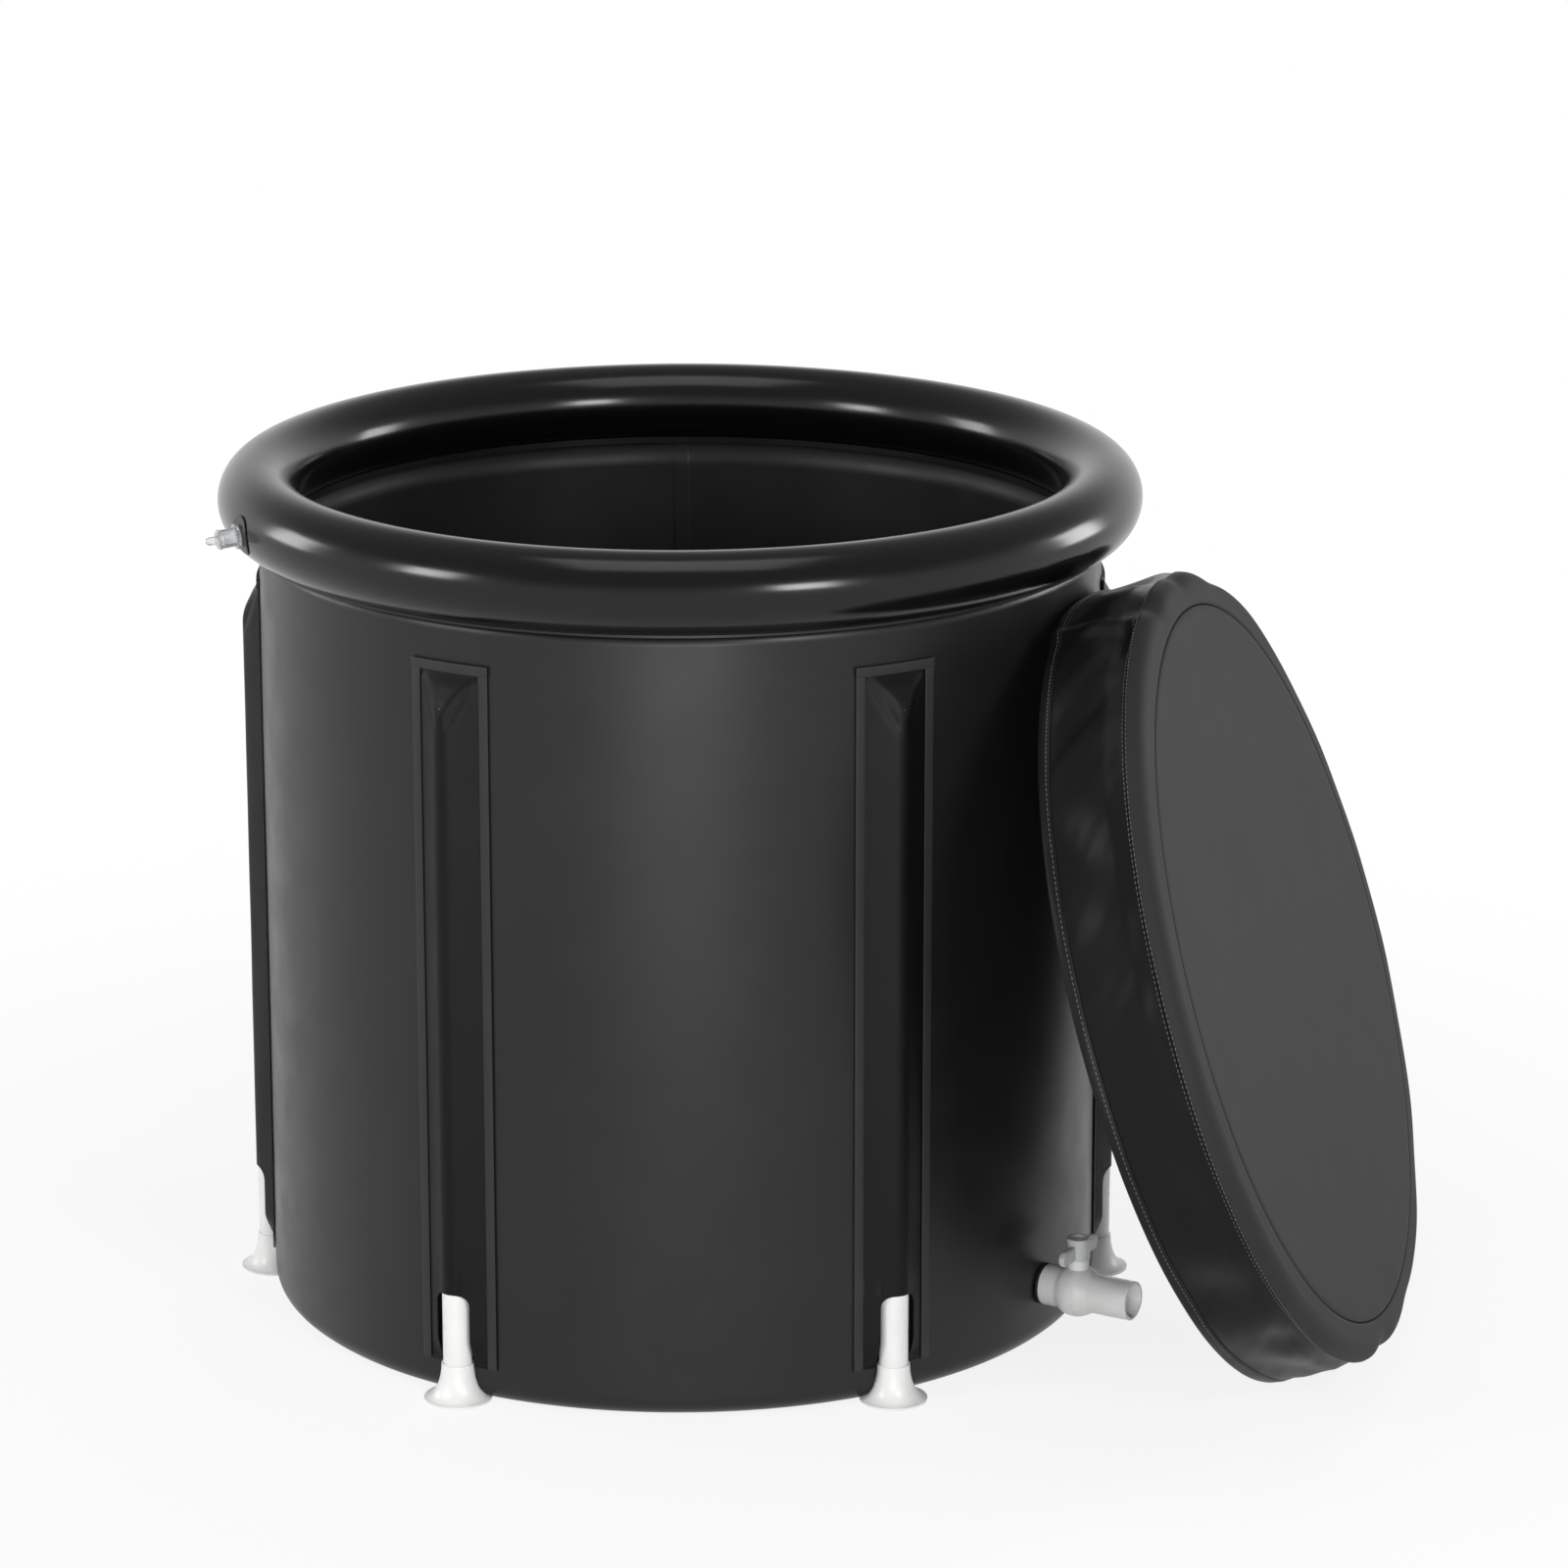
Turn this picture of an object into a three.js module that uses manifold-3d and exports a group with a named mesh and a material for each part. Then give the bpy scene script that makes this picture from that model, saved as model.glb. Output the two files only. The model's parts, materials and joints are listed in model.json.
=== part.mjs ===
// Portable cold plunge tub with an inflated top ring, six plug-in legs, a drain valve and a soft lid.
// Millimetres, +Z up. The origin is the centre of the base, on the floor.
import * as THREE from 'three';
import { mergeVertices } from 'three/addons/utils/BufferGeometryUtils.js';
import Module from 'manifold-3d';

const wasm = await Module();
wasm.setup();

// Driving dimensions of the tub
const TUB_HEIGHT = 750;
const RING_OUTER_DIAMETER = 800;
const RING_TUBE_DIAMETER = 69;
const RING_SKIN = 1.5;
const SKIN = 1.2;
const WALL_FOAM = 12;
const BASE_FOAM = 12;
const BASE_CORNER = 16;
const LINER_CORNER = 12;
const WELD_SEAT = 1;
const WELD_INNER_ANGLE = -120;
const WELD_OUTER_ANGLE = -75;

// Driving dimensions of the legs and their sleeves
const LEG_COUNT = 6;
const LEG_TUBE_DIAMETER = 25;
const LEG_TUBE_WALL = 2;
const LEG_STAND_OFF = 3.5;
const FOOT_DIAMETER = 58;
const FOOT_COLLAR_WALL = 1.2;
const FOOT_HEIGHT = 32;
const FOOT_RIM = 2;
const FOOT_FLOOR = 6;
const CAP_RISE = 4;
const CAP_DEPTH = 15;
const CAP_LIP = 3;
const SLEEVE_WIDTH = 73.4;
const SLEEVE_START = 30;
const SLEEVE_BELOW_RING = 35;
const SLEEVE_TENT_LENGTH = 24;
const SLEEVE_THICKNESS = 1;
const BAND_WIDTH = 8.3;
const BAND_THICKNESS = 0.8;
const SLOT_WIDTH = 32;
const SLOT_TOP = 97;
const SLOT_CORNER = 11;

// Driving dimensions of the drain valve
const DRAIN_HEIGHT = 53;
const DRAIN_TUBE_DIAMETER = 25;
const DRAIN_BORE = 20;
const DRAIN_FLANGE_DIAMETER = 44;
const DRAIN_FLANGE_THICKNESS = 4;
const GASKET_THICKNESS = 2;
const SOCKET_DIAMETER = 36;
const SOCKET_WEB = 2.4;
const VALVE_SPHERE_DIAMETER = 46;
const SPIGOT_DIAMETER = 34;
const SPIGOT_BORE = 28;
const SPIGOT_REACH = 54;
const BALL_DIAMETER = 34;
const SEAT_WIDTH = 4.7;
const SEAT_BACK = 16;
const NECK_DIAMETER = 19;
const NECK_TOP = 29.5;
const STEM_DIAMETER = 9;
const STEM_FLANGE = 14;
const STEM_FLANGE_HEIGHT = 2;
const STEM_TONGUE_WIDTH = 5;
const STEM_TONGUE_LENGTH = 12;
const STEM_TONGUE_DEPTH = 3.7;
const STEM_SEAL = 2.2;
const HUB_DIAMETER = 20.4;
const HUB_HEIGHT = 18.6;
const HUB_ROOF = 3;
const WING_REACH = 32;
const WING_HEIGHT = 13;
const WING_THICKNESS = 5;
const WING_CHAMFER = 4;
const WING_WALL_CLEARANCE = 1;

// Driving dimensions of the air valve on the ring
const AIR_BEARING = -157;
const AIR_DROOP = -6;
const AIR_STEM_DIAMETER = 16;
const AIR_STEM_BORE = 11;
const AIR_STEM_REACH = 16;
const AIR_STEM_DEPTH = 7;
const AIR_COLLAR_DIAMETER = 22;
const AIR_COLLAR_HEIGHT = 2.5;
const AIR_PATCH_DIAMETER = 38;
const AIR_PATCH_THICKNESS = 1;
const PLUG_DEPTH = 12;
const PLUG_HEAD_DIAMETER = 17;
const PLUG_HEAD_HEIGHT = 3.5;
const PLUG_TAB_WIDTH = 9;
const PLUG_TAB_HEIGHT = 10;
const PLUG_TAB_THICKNESS = 2;

// Driving dimensions of the lid and of the way it leans on the tub
const LID_HEM_DIAMETER = 690;
const LID_SEAM_DIAMETER = 687;
const LID_SHOULDER_WIDTH = 31.5;
const LID_DEPTH = 90;
const LID_SHOULDER_DROP = 12;
const LID_SHEET = 1.5;
const LID_FOAM = 25;
const LID_LINING = 1.2;
const LID_HEM_WIDTH = 10;
const LID_HEM_THICKNESS = 2.6;
const LID_LEAN = 18.2;
const LID_FACING = -15.5;
const LID_BEARING = -23.4;

// Gaps between pieces that touch, and the fineness of round pieces
const GAP = 0.3;
const ROUND_FACETS = 36;
const PIPE_FACETS = 16;
const PRESS_FACETS = 12;
const VALVE_FACETS = 16;
const RING_SECTION_FACETS = 12;
const RING_LINING_FACETS = 8;
const SEAL_FACETS = 6;
const CORNER_STEPS = 3;
const LINER_CORNER_STEPS = 2;
const SHOULDER_STEPS = 2;
const SPHERE_STEPS = 4;
const OUTLET_STEPS = 3;
const CURVE_STEPS = 4;
const HEM_SAMPLES = 360;
const LEAN_TOLERANCE = 0.003;
const MERGE_DISTANCE = 1e-4;

// Sizes worked out from the driving dimensions
const RAD = Math.PI / 180;
const RING_TUBE_R = RING_TUBE_DIAMETER / 2;
const RING_R = (RING_OUTER_DIAMETER - RING_TUBE_DIAMETER) / 2;
const RING_Z = TUB_HEIGHT - RING_TUBE_R;
const WALL_R = RING_R;
const SEAT_BOTTOM = RING_Z - RING_TUBE_R - GAP - WELD_SEAT;
const WALL_TOP = SEAT_BOTTOM - GAP;
const FOAM_OUT_R = WALL_R - SKIN - GAP;
const LINER_OUT_R = FOAM_OUT_R - WALL_FOAM - GAP;
const LINER_IN_R = LINER_OUT_R - SKIN;
const BASE_FOAM_TOP = SKIN + GAP + BASE_FOAM;
const LINER_BOTTOM = BASE_FOAM_TOP + GAP;

const LEG_R = WALL_R + LEG_STAND_OFF;
const LEG_TUBE_R = LEG_TUBE_DIAMETER / 2;
const FOOT_R = FOOT_DIAMETER / 2;
const COLLAR_IN_R = LEG_TUBE_R + GAP;
const COLLAR_R = COLLAR_IN_R + FOOT_COLLAR_WALL;
const TUBE_BOTTOM = FOOT_FLOOR + GAP;
const SLEEVE_TOP = WALL_TOP - SLEEVE_BELOW_RING;
const SLEEVE_HALF = SLEEVE_WIDTH / 2;
const FREE_HALF = SLEEVE_HALF - BAND_WIDTH;
const FREE_TOP = SLEEVE_TOP - BAND_WIDTH;
const CAP_TOP = FREE_TOP - SLEEVE_TENT_LENGTH;
const TUBE_TOP = CAP_TOP - CAP_RISE - GAP;
const PRESS_REACH = 1 / Math.cos(Math.PI / PRESS_FACETS);
const SHEET_LIFT = GAP + SLEEVE_THICKNESS;
const TENT_R = LEG_TUBE_R + SHEET_LIFT;
const BASE_SKIN_R = LEG_R - FOOT_R - 2 * SKIN - 2 * GAP;
const BASE_FOAM_R = BASE_SKIN_R - GAP;

const DRAIN_BEARING = -180 / LEG_COUNT;
const DRAIN_TUBE_R = DRAIN_TUBE_DIAMETER / 2;
const DRAIN_BORE_R = DRAIN_BORE / 2;
const DRAIN_FLANGE_R = DRAIN_FLANGE_DIAMETER / 2;
const SOCKET_R = SOCKET_DIAMETER / 2;
const SOCKET_X = WALL_R + GAP + GASKET_THICKNESS + GAP;
const BALL_X = WALL_R + WING_REACH + WING_WALL_CLEARANCE;
const BALL_R = BALL_DIAMETER / 2;
const SPHERE_R = VALVE_SPHERE_DIAMETER / 2;
const SPIGOT_R = SPIGOT_DIAMETER / 2;
const SPIGOT_BORE_R = SPIGOT_BORE / 2;
const SEAT_R = DRAIN_BORE_R + SEAT_WIDTH;
const SEAT_POCKET_R = SEAT_R + GAP;
const FACET_REACH = Math.cos(Math.PI / VALVE_FACETS);
const CHAMBER_R = (BALL_R + GAP) / FACET_REACH;
const VALVE_SPLIT = Math.sqrt((BALL_R + GAP) ** 2 - (SEAT_POCKET_R * FACET_REACH) ** 2);
const SOCKET_STOP = BALL_X - SEAT_BACK - 3 * GAP - SOCKET_WEB;
const STEM_R = STEM_DIAMETER / 2;
const STEM_FLANGE_R = STEM_FLANGE / 2;
const STEM_FLANGE_Z = BALL_R + GAP;
const HUB_Z = NECK_TOP + GAP;

const AIR_STEM_R = AIR_STEM_DIAMETER / 2;
const AIR_BORE_R = AIR_STEM_BORE / 2;
const AIR_COLLAR_Z = RING_TUBE_R + GAP + AIR_PATCH_THICKNESS + GAP;
const AIR_STEM_TOP = RING_TUBE_R + AIR_STEM_REACH;

const LID_HEM_R = LID_HEM_DIAMETER / 2;
const LID_SEAM_R = LID_SEAM_DIAMETER / 2;
const LID_PANEL_R = LID_SEAM_R - LID_SHOULDER_WIDTH;
const LID_SEAM_W = LID_DEPTH - LID_SHOULDER_DROP;
const LID_FOAM_TOP = LID_DEPTH - LID_SHEET - GAP;
const LID_FOAM_BOTTOM = LID_FOAM_TOP - LID_FOAM;

// Finishes
const finish = (color, roughness) => new THREE.MeshStandardMaterial({ color, roughness, metalness: 0 });
const wallVinyl = () => finish(0x1d1d1e, 0.5);
const ringVinyl = () => finish(0x161617, 0.3);
const sleeveVinyl = () => finish(0x202021, 0.55);
const bandVinyl = () => finish(0x434344, 0.5);
const lidVinyl = () => finish(0x2c2c2d, 0.5);
const foam = () => finish(0xe6e6e2, 0.9);
const whitePvc = () => finish(0xf1f1ef, 0.35);
const clearGrey = () => finish(0xb9babb, 0.25);
const clearVinyl = () => finish(0xd9dcde, 0.15);
const rubber = () => finish(0x2a2a2a, 0.8);
const seatPlastic = () => finish(0xf7f7f5, 0.4);

// A closed geometry with only positions, shared corners merged and faces pointing out.
function closed(geometry) {
  const bare = geometry.index ? geometry.toNonIndexed() : geometry.clone();
  for (const name of Object.keys(bare.attributes)) {
    if (name !== 'position') bare.deleteAttribute(name);
  }
  const merged = mergeVertices(bare, MERGE_DISTANCE);
  const corners = merged.index.array;
  const kept = [];
  for (let i = 0; i < corners.length; i += 3) {
    const [a, b, c] = [corners[i], corners[i + 1], corners[i + 2]];
    if (a !== b && b !== c && c !== a) kept.push(a, b, c);
  }
  const at = (i) => new THREE.Vector3().fromBufferAttribute(merged.attributes.position, i);
  let volume = 0;
  for (let i = 0; i < kept.length; i += 3) {
    volume += at(kept[i]).dot(at(kept[i + 1]).cross(at(kept[i + 2])));
  }
  if (volume < 0) kept.reverse();
  merged.setIndex(kept);
  return merged;
}

function toManifold(geometry) {
  const shape = closed(geometry);
  const mesh = new wasm.Mesh({
    numProp: 3,
    vertProperties: new Float32Array(shape.attributes.position.array),
    triVerts: new Uint32Array(shape.index.array),
  });
  return new wasm.Manifold(mesh);
}

function fromManifold(solid) {
  const mesh = solid.getMesh();
  const geometry = new THREE.BufferGeometry();
  geometry.setAttribute('position', new THREE.BufferAttribute(new Float32Array(mesh.vertProperties), 3));
  geometry.setIndex(Array.from(mesh.triVerts));
  return geometry;
}

const combine = (how, first, others) =>
  fromManifold(others.reduce((sum, next) => sum[how](toManifold(next)), toManifold(first)));
const cut = (first, ...others) => combine('subtract', first, others);
const join = (first, ...others) => combine('add', first, others);
const common = (first, ...others) => combine('intersect', first, others);

// Points of an arc about (x, y), angles in degrees, ends included.
function arc(x, y, rx, ry, from, to, steps) {
  return Array.from({ length: steps + 1 }, (_, i) => {
    const angle = (from + ((to - from) * i) / steps) * RAD;
    return [x + rx * Math.cos(angle), y + ry * Math.sin(angle)];
  });
}

// A solid turned about Z from (radius, height) points that start and end on the axis or close up.
function turned(profile, facets) {
  const points = profile.map(([r, z]) => new THREE.Vector2(r, z));
  const open = profile[0][0] > 0 || profile[profile.length - 1][0] > 0;
  if (open) points.push(points[0].clone());
  return new THREE.LatheGeometry(points, facets).rotateX(Math.PI / 2).rotateZ(Math.PI / 2);
}

// Round pieces of the tub are turned by half a facet, which puts a corner under each weld of a sleeve.
const tubTurned = (profile) => turned(profile, ROUND_FACETS).rotateZ(Math.PI / ROUND_FACETS);
const tubDisc = (radius, bottom, top) => tubTurned([[0, bottom], [radius, bottom], [radius, top], [0, top]]);
const turnedAlongX = (profile, facets) => turned(profile, facets).rotateY(Math.PI / 2);
const rod = (radius, bottom, top, facets) =>
  turned([[0, bottom], [radius, bottom], [radius, top], [0, top]], facets);
const hollowRod = (inner, outer, bottom, top, facets) =>
  turned([[inner, bottom], [outer, bottom], [outer, top], [inner, top]], facets);
const rodAlongX = (radius, from, to, facets) => rod(radius, from, to, facets).rotateY(Math.PI / 2);

function box(from, to) {
  const size = to.map((value, i) => value - from[i]);
  const middle = to.map((value, i) => (value + from[i]) / 2);
  return new THREE.BoxGeometry(...size).translate(...middle);
}

// A prism from an outline in (tangent, height), run along X.
function prismAlongX(shape, from, to) {
  const options = { depth: to - from, bevelEnabled: false, curveSegments: CURVE_STEPS };
  const solid = new THREE.ExtrudeGeometry(shape, options);
  const axes = [new THREE.Vector3(0, 1, 0), new THREE.Vector3(0, 0, 1), new THREE.Vector3(1, 0, 0)];
  return solid.applyMatrix4(new THREE.Matrix4().makeBasis(...axes)).translate(from, 0, 0);
}

// A closed sheet between an outer and an inner surface, both given on a grid of across and along values.
function sheet(across, along, outer, inner) {
  const rows = along.length;
  const columns = across.length;
  const positions = [];
  for (const surface of [outer, inner]) {
    for (const v of along) {
      for (const u of across) positions.push(...surface(u, v).toArray());
    }
  }
  const at = (side, row, column) => (side * rows + row) * columns + column;
  const index = [];
  const quad = (a, b, c, d) => index.push(a, b, c, a, c, d);
  for (let r = 0; r < rows - 1; r += 1) {
    for (let c = 0; c < columns - 1; c += 1) {
      quad(at(0, r, c), at(0, r, c + 1), at(0, r + 1, c + 1), at(0, r + 1, c));
      quad(at(1, r, c), at(1, r + 1, c), at(1, r + 1, c + 1), at(1, r, c + 1));
    }
  }
  for (let c = 0; c < columns - 1; c += 1) {
    quad(at(0, 0, c), at(1, 0, c), at(1, 0, c + 1), at(0, 0, c + 1));
    quad(at(0, rows - 1, c), at(0, rows - 1, c + 1), at(1, rows - 1, c + 1), at(1, rows - 1, c));
  }
  for (let r = 0; r < rows - 1; r += 1) {
    quad(at(0, r, 0), at(0, r + 1, 0), at(1, r + 1, 0), at(1, r, 0));
    quad(at(0, r, columns - 1), at(1, r, columns - 1), at(1, r + 1, columns - 1), at(0, r + 1, columns - 1));
  }
  const geometry = new THREE.BufferGeometry();
  geometry.setAttribute('position', new THREE.Float32BufferAttribute(positions, 3));
  geometry.setIndex(index);
  return geometry;
}

function piece(name, geometry, material) {
  const mesh = new THREE.Mesh(closed(geometry), material);
  mesh.name = name;
  return mesh;
}

function grouped(...pieces) {
  const group = new THREE.Group();
  group.add(...pieces);
  return group;
}

const legAngles = Array.from({ length: LEG_COUNT }, (_, i) => (i * 2 * Math.PI) / LEG_COUNT);

// The trumpet of the foot, from its rim up to its collar
const footFlare = () =>
  arc(FOOT_R, FOOT_HEIGHT, FOOT_R - COLLAR_R, FOOT_HEIGHT - FOOT_RIM, 270, 180, CORNER_STEPS);

// The space that one leg takes, grown by a margin, in the leg's own frame.
function legRoom(margin) {
  const flare = footFlare();
  const grown = flare.map(([r, z]) => [r + margin, z + margin]);
  const below = -margin - SKIN;
  const profile = [
    [0, below], [FOOT_R + margin, below], ...grown,
    [COLLAR_R + margin, CAP_TOP + margin], [0, CAP_TOP + margin],
  ];
  return turned(profile, PRESS_FACETS).scale(PRESS_REACH, PRESS_REACH, 1).translate(LEG_R, 0, 0);
}

const allLegRooms = (margin) => legAngles.map((angle) => legRoom(margin).rotateZ(angle));

// The tub's outside, drawn in by an inset, as a full solid from its underside up.
function tubSolid(inset, top) {
  const radius = WALL_R - inset;
  const corner = BASE_CORNER - inset;
  const rounded = arc(radius - corner, inset + corner, corner, corner, -90, 0, CORNER_STEPS);
  return tubTurned([[0, inset], ...rounded, [radius, top], [0, top]]);
}

const drainHole = () =>
  rodAlongX(DRAIN_TUBE_R + GAP, LINER_IN_R - WALL_FOAM, WALL_R + WALL_FOAM, VALVE_FACETS)
    .translate(0, 0, DRAIN_HEIGHT)
    .rotateZ(DRAIN_BEARING * RAD);

// The outer wall turns under at the base and dips behind each leg.
function outerWall() {
  const outside = cut(tubSolid(0, WALL_TOP), ...allLegRooms(GAP));
  const inside = cut(tubSolid(SKIN, WALL_TOP + SKIN), ...allLegRooms(GAP + SKIN));
  const underside = tubDisc(BASE_SKIN_R + GAP, -SKIN, 2 * SKIN);
  return cut(outside, inside, underside, drainHole());
}

function foamWall() {
  const margin = SKIN + GAP;
  const filling = cut(tubSolid(margin, WALL_TOP), ...allLegRooms(GAP + margin));
  const inside = tubDisc(LINER_OUT_R + GAP, -SKIN, WALL_TOP + SKIN);
  const below = tubDisc(WALL_R, -SKIN, BASE_FOAM_TOP + GAP);
  return cut(filling, inside, below, drainHole());
}

function innerLiner() {
  const middle = [LINER_OUT_R - LINER_CORNER, LINER_BOTTOM + LINER_CORNER];
  const corner = LINER_CORNER - SKIN;
  const out = arc(...middle, LINER_CORNER, LINER_CORNER, -90, 0, LINER_CORNER_STEPS);
  const into = arc(...middle, corner, corner, 0, -90, LINER_CORNER_STEPS);
  const profile = [
    [0, LINER_BOTTOM], ...out, [LINER_OUT_R, WALL_TOP],
    [LINER_IN_R, WALL_TOP], ...into, [0, LINER_BOTTOM + SKIN],
  ];
  return cut(tubTurned(profile), drainHole());
}

const airDirection = new THREE.Vector3(
  Math.cos(AIR_DROOP * RAD) * Math.cos(AIR_BEARING * RAD),
  Math.cos(AIR_DROOP * RAD) * Math.sin(AIR_BEARING * RAD),
  Math.sin(AIR_DROOP * RAD),
);
const airTurn = new THREE.Quaternion().setFromUnitVectors(new THREE.Vector3(0, 0, 1), airDirection);
const airCentre = new THREE.Vector3(
  RING_R * Math.cos(AIR_BEARING * RAD),
  RING_R * Math.sin(AIR_BEARING * RAD),
  RING_Z,
);
const inAirFrame = (geometry) => geometry.applyQuaternion(airTurn).translate(...airCentre.toArray());
const ringSolid = (tubeRadius, sectionFacets) =>
  new THREE.TorusGeometry(RING_R, tubeRadius, sectionFacets, ROUND_FACETS).translate(0, 0, RING_Z);

// The inflated ring is a thin tube, open only where the air valve goes in.
function topRing() {
  const hole = inAirFrame(rod(AIR_STEM_R + GAP, RING_TUBE_R / 2, RING_TUBE_R * 2, PRESS_FACETS));
  const air = ringSolid(RING_TUBE_R - RING_SKIN, RING_LINING_FACETS);
  return cut(ringSolid(RING_TUBE_R, RING_SECTION_FACETS), air, hole);
}

// The welded seam between wall and ring has a flat underside and a trough that the ring lies in.
function weldStrip() {
  const radius = RING_TUBE_R + GAP;
  const trough = arc(RING_R, RING_Z, radius, radius, WELD_INNER_ANGLE, WELD_OUTER_ANGLE, CORNER_STEPS);
  const inner = trough[0][0];
  const outer = trough[trough.length - 1][0];
  return turned([[outer, SEAT_BOTTOM], [inner, SEAT_BOTTOM], ...trough], ROUND_FACETS);
}

const tub = grouped(
  piece('outer_wall', outerWall(), wallVinyl()),
  piece('foam_wall', foamWall(), foam()),
  piece('inner_liner', innerLiner(), wallVinyl()),
  piece('base_skin', tubDisc(BASE_SKIN_R, 0, SKIN), wallVinyl()),
  piece('foam_base', tubDisc(BASE_FOAM_R, SKIN + GAP, BASE_FOAM_TOP), foam()),
  piece('ring_weld_strip', weldStrip(), wallVinyl()),
  piece('top_ring', topRing(), ringVinyl()),
);

// Legs: a pipe with a flared foot below, a plug on top, and a sleeve welded over it
const legTube = () => hollowRod(LEG_TUBE_R - LEG_TUBE_WALL, LEG_TUBE_R, TUBE_BOTTOM, TUBE_TOP, PIPE_FACETS);

function legFoot() {
  const profile = [
    [0, 0], [FOOT_R, 0], ...footFlare(),
    [COLLAR_IN_R, FOOT_HEIGHT], [COLLAR_IN_R, FOOT_FLOOR], [0, FOOT_FLOOR],
  ];
  return turned(profile, PIPE_FACETS);
}

function legCap() {
  const shank = LEG_TUBE_R - LEG_TUBE_WALL - GAP;
  const lip = TUBE_TOP + GAP;
  const profile = [
    [0, lip - CAP_DEPTH], [shank, lip - CAP_DEPTH], [shank, lip], [LEG_TUBE_R, lip],
    [LEG_TUBE_R - CAP_LIP, CAP_TOP], [0, CAP_TOP],
  ];
  return turned(profile, PRESS_FACETS);
}

// A point on the wall: arc length sideways, height over the wall, and height over the floor.
function onWall(side, rise, z) {
  const angle = side / WALL_R;
  return new THREE.Vector3((WALL_R + rise) * Math.cos(angle), (WALL_R + rise) * Math.sin(angle), z);
}

// The taut sleeve runs straight from its weld to the round of the tube: half width, then rise over the wall.
const tentLean = Math.atan2(LEG_STAND_OFF - SHEET_LIFT, FREE_HALF);
const tentReach = Math.hypot(LEG_STAND_OFF - SHEET_LIFT, FREE_HALF);
const tentSlope = Math.asin(TENT_R / tentReach) + tentLean;
const tentTouch = TENT_R * Math.sin(tentSlope);

function tentRise(side) {
  const away = Math.abs(side);
  if (away >= FREE_HALF) return SHEET_LIFT;
  if (away <= tentTouch) return LEG_STAND_OFF + Math.sqrt(TENT_R ** 2 - side ** 2);
  return SHEET_LIFT + (FREE_HALF - away) * Math.tan(tentSlope);
}

function legSleeve() {
  const half = [tentTouch / 2, tentTouch, FREE_HALF, SLEEVE_HALF];
  const across = [...half.map((side) => -side).reverse(), 0, ...half];
  const along = [SLEEVE_START, (SLEEVE_START + SLOT_TOP) / 2, CAP_TOP, FREE_TOP, SLEEVE_TOP];
  const raised = [0, 1, 1, 0, 0];
  const rise = (side, z) => SHEET_LIFT + (tentRise(side) - SHEET_LIFT) * raised[along.indexOf(z)];
  const outer = (side, z) => onWall(side, rise(side, z), z);
  const inner = (side, z) => onWall(side, rise(side, z) - SLEEVE_THICKNESS, z);
  return cut(sheet(across, along, outer, inner), sleeveSlot());
}

// The slot at the foot of the sleeve, where the tube comes out
function sleeveSlot() {
  const half = SLOT_WIDTH / 2;
  const shape = new THREE.Shape();
  shape.moveTo(-half, 0);
  shape.lineTo(half, 0);
  shape.lineTo(half, SLOT_TOP - SLOT_CORNER);
  shape.absarc(half - SLOT_CORNER, SLOT_TOP - SLOT_CORNER, SLOT_CORNER, 0, Math.PI / 2);
  shape.absarc(SLOT_CORNER - half, SLOT_TOP - SLOT_CORNER, SLOT_CORNER, Math.PI / 2, Math.PI);
  return prismAlongX(shape, WALL_R - FOOT_R, WALL_R + FOOT_R);
}

// The welded border runs up both sides of the sleeve and across its top.
function sleeveBand() {
  const inside = [-1, -0.5, 0, 0.5, 1].map((share) => share * FREE_HALF);
  const across = [-SLEEVE_HALF, ...inside, SLEEVE_HALF];
  const under = SHEET_LIFT + GAP;
  const outer = (side, z) => onWall(side, under + BAND_THICKNESS, z);
  const inner = (side, z) => onWall(side, under, z);
  const full = sheet(across, [SLEEVE_START, FREE_TOP, SLEEVE_TOP], outer, inner);
  const middle = box([WALL_R - FOOT_R, -FREE_HALF, 0], [WALL_R + FOOT_R, FREE_HALF, FREE_TOP]);
  return cut(full, middle);
}

const legs = new THREE.Group();
legAngles.forEach((angle, i) => {
  const number = i + 1;
  const upright = grouped(
    piece(`leg_tube_${number}`, legTube(), whitePvc()),
    piece(`leg_foot_${number}`, legFoot(), whitePvc()),
    piece(`leg_cap_${number}`, legCap(), whitePvc()),
  );
  upright.position.x = LEG_R;
  const leg = grouped(
    upright,
    piece(`leg_sleeve_${number}`, legSleeve(), sleeveVinyl()),
    piece(`sleeve_band_${number}`, sleeveBand(), bandVinyl()),
  );
  leg.rotation.z = angle;
  legs.add(leg);
});

// Drain valve, drawn with X along the pipe from the tub's axis and Z up from the pipe's centre line
const wallInside = Math.sqrt((LINER_IN_R * Math.cos(Math.PI / ROUND_FACETS)) ** 2 - DRAIN_FLANGE_R ** 2);
const innerGasketX = wallInside - GAP - GASKET_THICKNESS;
const flangeX = innerGasketX - GAP - DRAIN_FLANGE_THICKNESS;

function drainBulkhead() {
  const profile = [
    [DRAIN_BORE_R, flangeX], [DRAIN_FLANGE_R, flangeX],
    [DRAIN_FLANGE_R, flangeX + DRAIN_FLANGE_THICKNESS], [DRAIN_TUBE_R, flangeX + DRAIN_FLANGE_THICKNESS],
    [DRAIN_TUBE_R, SOCKET_STOP - GAP], [DRAIN_BORE_R, SOCKET_STOP - GAP],
  ];
  return turnedAlongX(profile, VALVE_FACETS);
}

const washer = (outer, from) =>
  hollowRod(DRAIN_TUBE_R + GAP, outer, from, from + GASKET_THICKNESS, VALVE_FACETS).rotateY(Math.PI / 2);

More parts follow.
